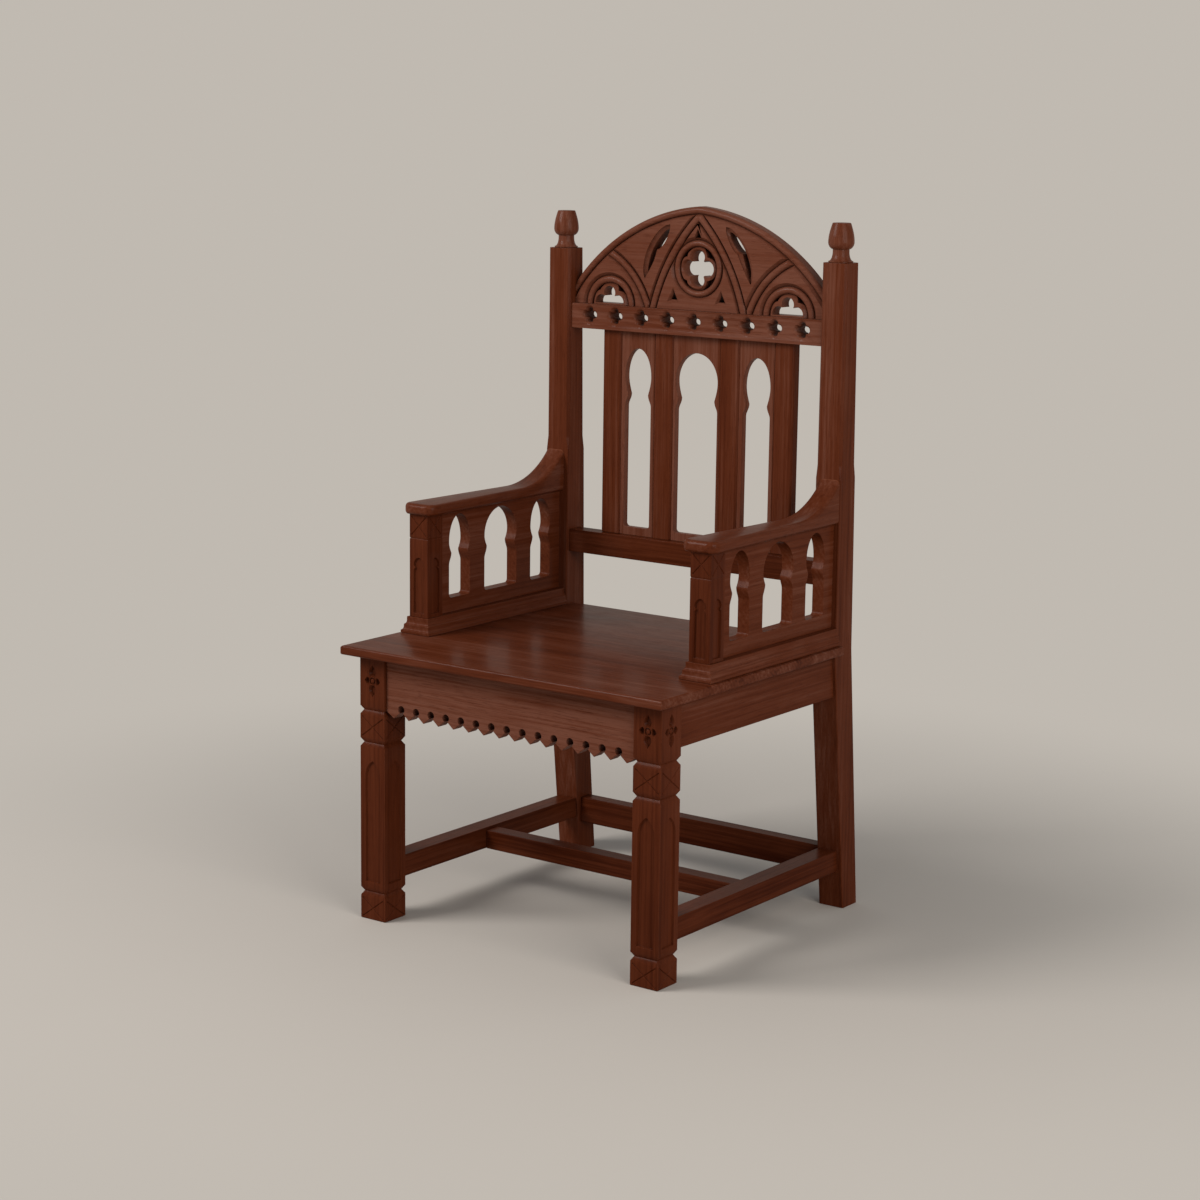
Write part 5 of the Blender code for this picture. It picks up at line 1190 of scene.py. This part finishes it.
def roundel_lobes():
    """Centres of the roundel's four foils, the first repeated at the end."""
    turns = [i * math.pi / 2 for i in range(5)]
    return [Vector(ROUNDEL) + Vector((math.cos(t), math.sin(t))) * ROUNDEL_OFFSET for t in turns]


# Foils of a lunette: how far the lower two stand aside, the height of each over the crest's foot, and their radii
LOBE_ASIDE = 0.0170
LOBE_RISE = 0.0045
LOBE_RADIUS = 0.0122
CROWN_RISE = 0.0200
CROWN_RADIUS = 0.0117


def lunette_lobes(middle):
    """Centres and radii of a lunette's foils: right, top and left."""
    return (
        ((middle + LOBE_ASIDE, CREST_FOOT + LOBE_RISE), LOBE_RADIUS),
        ((middle, CREST_FOOT + CROWN_RISE), CROWN_RADIUS),
        ((middle - LOBE_ASIDE, CREST_FOOT + LOBE_RISE), LOBE_RADIUS),
    )


def lunette_outline(middle):
    """Trefoil on a flat sill."""
    (lobe, lobe_radius), (crown, crown_radius), _ = lunette_lobes(middle)
    sill = CREST_FOOT + LUNETTE_SILL
    start = (lobe[0] + math.sqrt(lobe_radius ** 2 - (lobe[1] - sill) ** 2), sill)
    meet = max(crossings(lobe, lobe_radius, crown, crown_radius), key=lambda point: point.y)
    half = arc_between(lobe, start, meet, 16)
    half += arc_between(crown, meet, (middle, crown[1] + crown_radius), 9)[1:]
    return half + [(2 * middle - u, v) for u, v in reversed(half[:-1])]


# Daggers: their three points, how far each side bulges, the frame round them and the slope of their walls
DAGGER_HEAD = (0.0600, CREST_APEX - 0.0390)
DAGGER_FOOT = (0.1010, CREST_FOOT + 0.0555)
DAGGER_CUSP = (0.0850, CREST_FOOT + 0.0965)
DAGGER_BACK_BULGE = 0.0126
DAGGER_HEAD_BULGE = 0.0056
DAGGER_FOOT_BULGE = 0.0012
DAGGER_STRETCH = 1.3
DAGGER_FRAME = 0.0070
DAGGER_SHOULDER = 0.0026
DAGGER_DEPTH = 0.0058
DAGGER_DRAFT = 0.0035


def dagger_outline(side, spread):
    """Curved dagger of two lobes parted by a cusp on the gable's side, widened and lengthened by spread."""
    longer = (Vector(DAGGER_HEAD) - Vector(DAGGER_FOOT)).normalized() * (DAGGER_STRETCH * spread)
    head, foot = Vector(DAGGER_HEAD) + longer, Vector(DAGGER_FOOT) - longer
    cusp = Vector(DAGGER_CUSP) - Vector((spread, 0.0))
    outline = bend(foot, head, -DAGGER_BACK_BULGE - spread, 22, 0.7)
    outline += bend(head, cusp, -DAGGER_HEAD_BULGE, 12, 0.6)[1:]
    outline += bend(cusp, foot, -DAGGER_FOOT_BULGE, 10)[1:-1]
    return [(side * x, z) for x, z in outline]


# Small triangles in the gable: size, the upper one's point, the lower ones' foot and distance from the middle, and
# how far the hollow round each of them spreads and falls
SPANDREL = 0.012
SPANDREL_TOP = CREST_APEX - 0.0390
SPANDREL_LOW = CREST_FOOT + 0.0155
SPANDREL_ASIDE = 0.0475
SPANDREL_RIMS = (1.40, 2.0, 2.0)
SPANDREL_DEPTH = 0.0042

# Dish of the roundel: multiples of its foils' outline, and their depths
ROUNDEL_RIMS = ((1.19, 0.0), (1.13, 0.0010), (1.06, 0.0028), (1.0, 0.0060))


def spandrels():
    """The three small triangles in the corners of the gable."""
    half, foot = SPANDREL / 2, SPANDREL_TOP - SPANDREL
    outlines = [[(-half, foot), (half, foot), (0.0, SPANDREL_TOP)]]
    for _, side in SIDES:
        x = side * SPANDREL_ASIDE
        outlines.append([(x - half, SPANDREL_LOW), (x + half, SPANDREL_LOW), (x, SPANDREL_LOW + SPANDREL)])
    return outlines


def dished(face, outline, centre, rims):
    """Cutter for a hollow that falls to an opening, through copies of its outline grown about a centre."""
    levels = [(grown(outline, centre, factor), depth) for factor, depth in rims]
    return sinking(face, [(levels[0][0], -MARGIN)] + levels)


def carve_foils(item, face, sizes, depth):
    """Dish the roundel, frame the daggers, sink the corners between the foils and pierce the openings."""
    quatrefoil = foiled(ROUNDEL, ROUNDEL_FOIL, ROUNDEL_OFFSET, 18)
    cut(item, dished(face, quatrefoil, ROUNDEL, ROUNDEL_RIMS))
    lobes = roundel_lobes()
    well, border = ROUNDEL_RADIUS - sizes.ring / 2, ROUNDEL_FOIL + ROUNDEL_BORDER
    pockets = [foil_pocket(ROUNDEL, well, a, border, b, border) for a, b in zip(lobes, lobes[1:])]
    corners = spandrels()
    for outline, rim in zip(corners, SPANDREL_RIMS):
        cut(item, dished(face, outline, centroid(outline), ((rim, 0.0), (1.0, SPANDREL_DEPTH))))
    openings = [quatrefoil] + corners
    well = LUNETTE_RADIUS - sizes.lunette / 2
    for _, side in SIDES:
        wide, inner = dagger_outline(side, DAGGER_FRAME), dagger_outline(side, 0.0)
        narrow = dagger_outline(side, -DAGGER_DRAFT)
        dagger = ((wide, -MARGIN), (wide, DAGGER_SHOULDER), (inner, DAGGER_DEPTH), (narrow, depth))
        cut(item, sinking(face, dagger))
        middle = side * (POST_INNER - LUNETTE_INSET)
        right, crown, left = [(lobe, radius + LUNETTE_BORDER) for lobe, radius in lunette_lobes(middle)]
        pockets.append(foil_pocket((middle, CREST_FOOT), well, *right, *crown))
        pockets.append(foil_pocket((middle, CREST_FOOT), well, *crown, *left))
        openings.append(lunette_outline(middle))
    for outlines, reach in ((pockets, sizes.sink), (openings, depth)):
        cut(item, gather([prism(face, outline, -MARGIN, reach) for outline in outlines]))


# How far the crest's blank stands past the arch, how far its beads stay under the face, and how deep they root
CREST_OVER = 0.017
BEAD_DROP = FIT / 3
BEAD_ROOT = 0.001


def crest_panel(name, node, seed):
    """Arched crest board: flush beads between quirks, trimmed to the arch, with foils and daggers pierced."""
    sizes = bpy.context.scene.chair_tracery
    face, depth = front_face(CREST_LOW.y), CREST_HIGH.y - CREST_LOW.y
    low = Vector((-POST_INNER - CREST_OVER, CREST_LOW.y, CREST_FOOT - CREST_OVER))
    high = Vector((POST_INNER + CREST_OVER, CREST_HIGH.y, CREST_APEX + CREST_OVER))
    item = new_object(name, box(low, high))
    for path, width, quirk, closed in crest_beads(sizes):
        cut(item, moulding(face, path, channel(width, quirk, sizes.quirk_depth), closed))
        bead = moulding(face, path, roll(width, -BEAD_DROP, sizes.quirk_depth + BEAD_ROOT), closed)
        carve(item, bead, "UNION", "MANIFOLD")
    carve_foils(item, face, sizes, depth + MARGIN)
    reach = POST_INNER - FIT
    arch = mirrored([(reach, CREST_FOOT)] + crest_arc(0.0, reach, 44))
    carve(item, prism(face, arch, -MARGIN, depth + MARGIN), "INTERSECT", "MANIFOLD")
    dress_made(item, node, "X", seed, tone_and_shade=0.31, polished=True, vivid=0.6)


class CHAIR_OT_frame(bpy.types.Operator):
    """Round and finish the plain joinery: posts, rails, stiles, aprons, stretchers and blocks"""

    bl_idname = "chair.frame"
    bl_label = "Frame"

    def execute(self, context):
        edges = context.scene.chair_edges
        seed = 1.0
        # Lowered tones of the back's lower rail, the aprons and the stretchers are painted shade of these low
        # parts
        for kind, axis, radius, tone_and_shade in (
            ("rear_post", "Z", edges.post, 0.0), ("back_stile", "Z", edges.rail, 0.0),
            ("lower_back_rail", "X", edges.rail, -0.16), ("side_apron", "Y", edges.rail, -0.06),
            ("rear_apron", "X", edges.rail, -0.10), ("side_stretcher", "Y", edges.rail, -0.20),
            ("cross_stretcher", "X", edges.rail, -0.20), ("rear_stretcher", "X", edges.rail, -0.20),
            ("corner_block", "X", edges.rail, 0.10),
        ):
            for node in sorted(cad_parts):
                if node.startswith(kind) and "_screw_" not in node:
                    dress_packed(node, axis, seed, radius, tone_and_shade)
                    seed += 1.0
        return {"FINISHED"}


class CHAIR_OT_screws(bpy.types.Operator):
    """Finish the hidden screws in plain steel"""

    bl_idname = "chair.screws"
    bl_label = "Screws"

    def execute(self, context):
        finish = steel("screw_steel")
        for node in sorted(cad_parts):
            if "_screw_" in node:
                soften(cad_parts[node], SCREW_ARRIS, packed=True)
                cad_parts[node].material_slots[0].material = finish
        return {"FINISHED"}


class CHAIR_OT_seat(bpy.types.Operator):
    """Make the seat board and the scalloped apron under it"""

    bl_idname = "chair.seat"
    bl_label = "Seat and apron"

    def execute(self, context):
        seat_board("seat_rounded", "seat_board", seed=41.0)
        front_apron("apron_scalloped", "front_apron", seed=42.0)
        return {"FINISHED"}


class CHAIR_OT_legs(bpy.types.Operator):
    """Make the carved front legs"""

    bl_idname = "chair.legs"
    bl_label = "Front legs"

    def execute(self, context):
        for word, side in SIDES:
            front_leg("leg_carved_" + word, "front_leg_" + word, side, seed=50.0 + side)
        return {"FINISHED"}


class CHAIR_OT_arms(bpy.types.Operator):
    """Make the arms with their posts, plinths and pierced panels"""

    bl_idname = "chair.arms"
    bl_label = "Arms"

    def execute(self, context):
        for word, side in SIDES:
            arm("arm_swept_" + word, "arm_" + word, side, seed=60.0 + side)
            arm_post("arm_post_carved_" + word, "arm_post_" + word, seed=64.0 + side)
            arm_base("arm_base_moulded_" + word, "arm_base_" + word, side, seed=68.0 + side)
            arm_panel("arm_panel_pierced_" + word, "arm_panel_" + word, side, seed=72.0 + side)
        return {"FINISHED"}


class CHAIR_OT_back(bpy.types.Operator):
    """Make the pierced panels and the frieze of the back"""

    bl_idname = "chair.back"
    bl_label = "Back"

    def execute(self, context):
        for i, (word, margin) in enumerate(PANEL_MARGINS):
            back_panel("back_lancet_" + word, "back_panel_" + word, margin, seed=80.0 + i)
        frieze_rail("frieze_foiled", "frieze_rail", seed=84.0)
        return {"FINISHED"}


class CHAIR_OT_crest(bpy.types.Operator):
    """Make the tracery crest and the two finials"""

    bl_idname = "chair.crest"
    bl_label = "Crest and finials"

    def execute(self, context):
        crest_panel("crest_tracery", "crest_panel", seed=90.0)
        for word, side in SIDES:
            finial("finial_turned_" + word, "finial_" + word, seed=94.0 + side)
        return {"FINISHED"}


# Lights: the point they look at, their places, sizes and colours, and the soft light from all round
LIGHT_AIM = (0.0, 0.0, 0.6)
KEY = {"place": (-2.1, -2.75, 2.95), "size": 1.9, "colour": (1.0, 0.97, 0.95)}
FILL = {"place": (3.0, -1.2, 1.6), "size": 2.0, "colour": (1.0, 0.95, 0.90)}
SKY_COLOUR = (0.93, 0.96, 1.0, 1)
SKY_STRENGTH = 0.34

# Floor: its radius, how much paler than the backdrop it is near the chair, the shade of its patches, and where it
# fades into the backdrop
FLOOR_RADIUS = 40.0
FLOOR_LIFT = 1.03
FLOOR_PATCH = 0.92
FLOOR_SPOTS = (3.0, 3.0, 3.0)
FLOOR_FADE = (0.5, 1.8)

# Camera: the point it looks at, and the width of its sensor in millimetres
CAMERA_AIM = (0.0034, -0.03555, 0.5286)
SENSOR = 36.0


def area_light(name, watts, place, size, colour):
    """A soft square light that looks at the chair."""
    data = bpy.data.lights.new(name, "AREA")
    data.shape = "SQUARE"
    data.size = size
    data.energy = watts
    data.color = colour
    lamp = bpy.data.objects.new(name, data)
    lamp.location = place
    lamp.rotation_euler = (Vector(LIGHT_AIM) - Vector(place)).to_track_quat("-Z", "Y").to_euler()
    bpy.context.scene.collection.objects.link(lamp)


def backdrop_world(colour):
    """Pale backdrop for the camera and for reflections, softer light for the rest."""
    world = bpy.data.worlds.new("studio")
    bpy.context.scene.world = world
    world.use_nodes = True
    tree = world.node_tree
    tree.nodes.clear()
    rays = {ray.socket.name: ray for ray in add_node(tree, "ShaderNodeLightPath", {}, {})}
    seen = add_node(tree, "ShaderNodeBackground", {}, {"Color": (*colour, 1), "Strength": 1.0})[0]
    soft = add_node(tree, "ShaderNodeBackground", {}, {"Color": SKY_COLOUR, "Strength": SKY_STRENGTH})[0]
    factor = rays["Is Camera Ray"]
    for name in ("Is Glossy Ray", "Is Transmission Ray"):
        factor = factor.math("MAXIMUM", factor, rays[name])
    both = add_node(tree, "ShaderNodeMixShader", {}, {0: factor, 1: soft, 2: seen})[0]
    add_node(tree, "ShaderNodeOutputWorld", {}, {0: both})


def floor_material(colour):
    """Pale floor that fades into the backdrop away from the chair."""
    material, tree, shader = new_tree("pale_floor")
    place = object_place(tree)
    distance = add_node(tree, "ShaderNodeVectorMath", {"operation": "LENGTH"}, {0: place})[1]
    patches = noise(tree, scaled(tree, place, FLOOR_SPOTS), 4.0)
    near = [level * FLOOR_LIFT for level in colour]
    shade = mixed(tree, patches * 0.25, (*near, 1), (*[level * FLOOR_PATCH for level in near], 1))
    connect(tree, shader, {"Base Color": shade, "Roughness": 0.9, "Specular IOR Level": 0.1})
    glow = add_node(tree, "ShaderNodeEmission", {}, {"Color": (*colour, 1), "Strength": 1.0})[0]
    far = band(tree, distance, *FLOOR_FADE)
    both = add_node(tree, "ShaderNodeMixShader", {}, {0: far, 1: Shade(tree, shader.outputs[0]), 2: glow})[0]
    connect(tree, tree.nodes["Material Output"], {"Surface": both})
    return material


def photo_camera(stage):
    """Camera at the photograph's angle."""
    back = Vector((
        math.sin(stage.azimuth) * math.cos(stage.elevation),
        -math.cos(stage.azimuth) * math.cos(stage.elevation),
        math.sin(stage.elevation)))
    right = Vector((0, 0, 1)).cross(back).normalized()
    up = back.cross(right)
    c, s = math.cos(stage.roll), math.sin(stage.roll)
    axes = Matrix((right * c + up * s, up * c - right * s, back)).transposed()
    data = bpy.data.cameras.new("camera")
    data.sensor_width = SENSOR
    data.lens = stage.lens
    camera = bpy.data.objects.new("camera", data)
    camera.matrix_world = Matrix.Translation(Vector(CAMERA_AIM) + back * stage.distance) @ axes.to_4x4()
    bpy.context.scene.collection.objects.link(camera)
    bpy.context.scene.camera = camera


class CHAIR_OT_stage(bpy.types.Operator):
    """Set the pale floor, the soft lights and the camera"""

    bl_idname = "chair.stage"
    bl_label = "Stage"

    def execute(self, context):
        stage = context.scene.chair_stage
        disc = bmesh.new()
        bmesh.ops.create_circle(disc, cap_ends=True, radius=FLOOR_RADIUS, segments=96)
        floor = new_object("floor", disc)
        paint(floor, floor_material(tuple(stage.floor)))
        backdrop_world(tuple(stage.floor))
        area_light("key", stage.key, **KEY)
        area_light("fill", stage.fill, **FILL)
        photo_camera(stage)
        context.scene.view_settings.view_transform = "Standard"
        return {"FINISHED"}


OPERATORS = (
    CHAIR_OT_stage, CHAIR_OT_frame, CHAIR_OT_screws, CHAIR_OT_seat, CHAIR_OT_legs, CHAIR_OT_arms,
    CHAIR_OT_back, CHAIR_OT_crest,
)
SETTINGS = (
    ("chair_finish", ChairFinish), ("chair_edges", ChairEdges),
    ("chair_tracery", ChairTracery), ("chair_stage", ChairStage),
)


class CHAIR_PT_panel(bpy.types.Panel):
    """Settings and steps of the chair"""

    bl_idname = "CHAIR_PT_panel"
    bl_label = "Celebrant Chair"
    bl_space_type = "VIEW_3D"
    bl_region_type = "UI"
    bl_category = "Chair"

    def draw(self, context):
        for name, group in SETTINGS:
            column = self.layout.column(align=True)
            for key in group.__annotations__:
                column.prop(getattr(context.scene, name), key)
        for operator in OPERATORS:
            self.layout.operator(operator.bl_idname)


def register():
    for name, group in SETTINGS:
        bpy.utils.register_class(group)
        setattr(bpy.types.Scene, name, PointerProperty(type=group))
    for cls in (*OPERATORS, CHAIR_PT_panel):
        bpy.utils.register_class(cls)


def unregister():
    for cls in (CHAIR_PT_panel, *reversed(OPERATORS)):
        bpy.utils.unregister_class(cls)
    for name, group in reversed(SETTINGS):
        delattr(bpy.types.Scene, name)
        bpy.utils.unregister_class(group)


def main():
    """Register the add-on and run its steps in order."""
    register()
    bpy.ops.chair.stage()
    bpy.ops.chair.frame()
    bpy.ops.chair.screws()
    bpy.ops.chair.seat()
    bpy.ops.chair.legs()
    bpy.ops.chair.arms()
    bpy.ops.chair.back()
    bpy.ops.chair.crest()


if __name__ == "__main__":
    main()
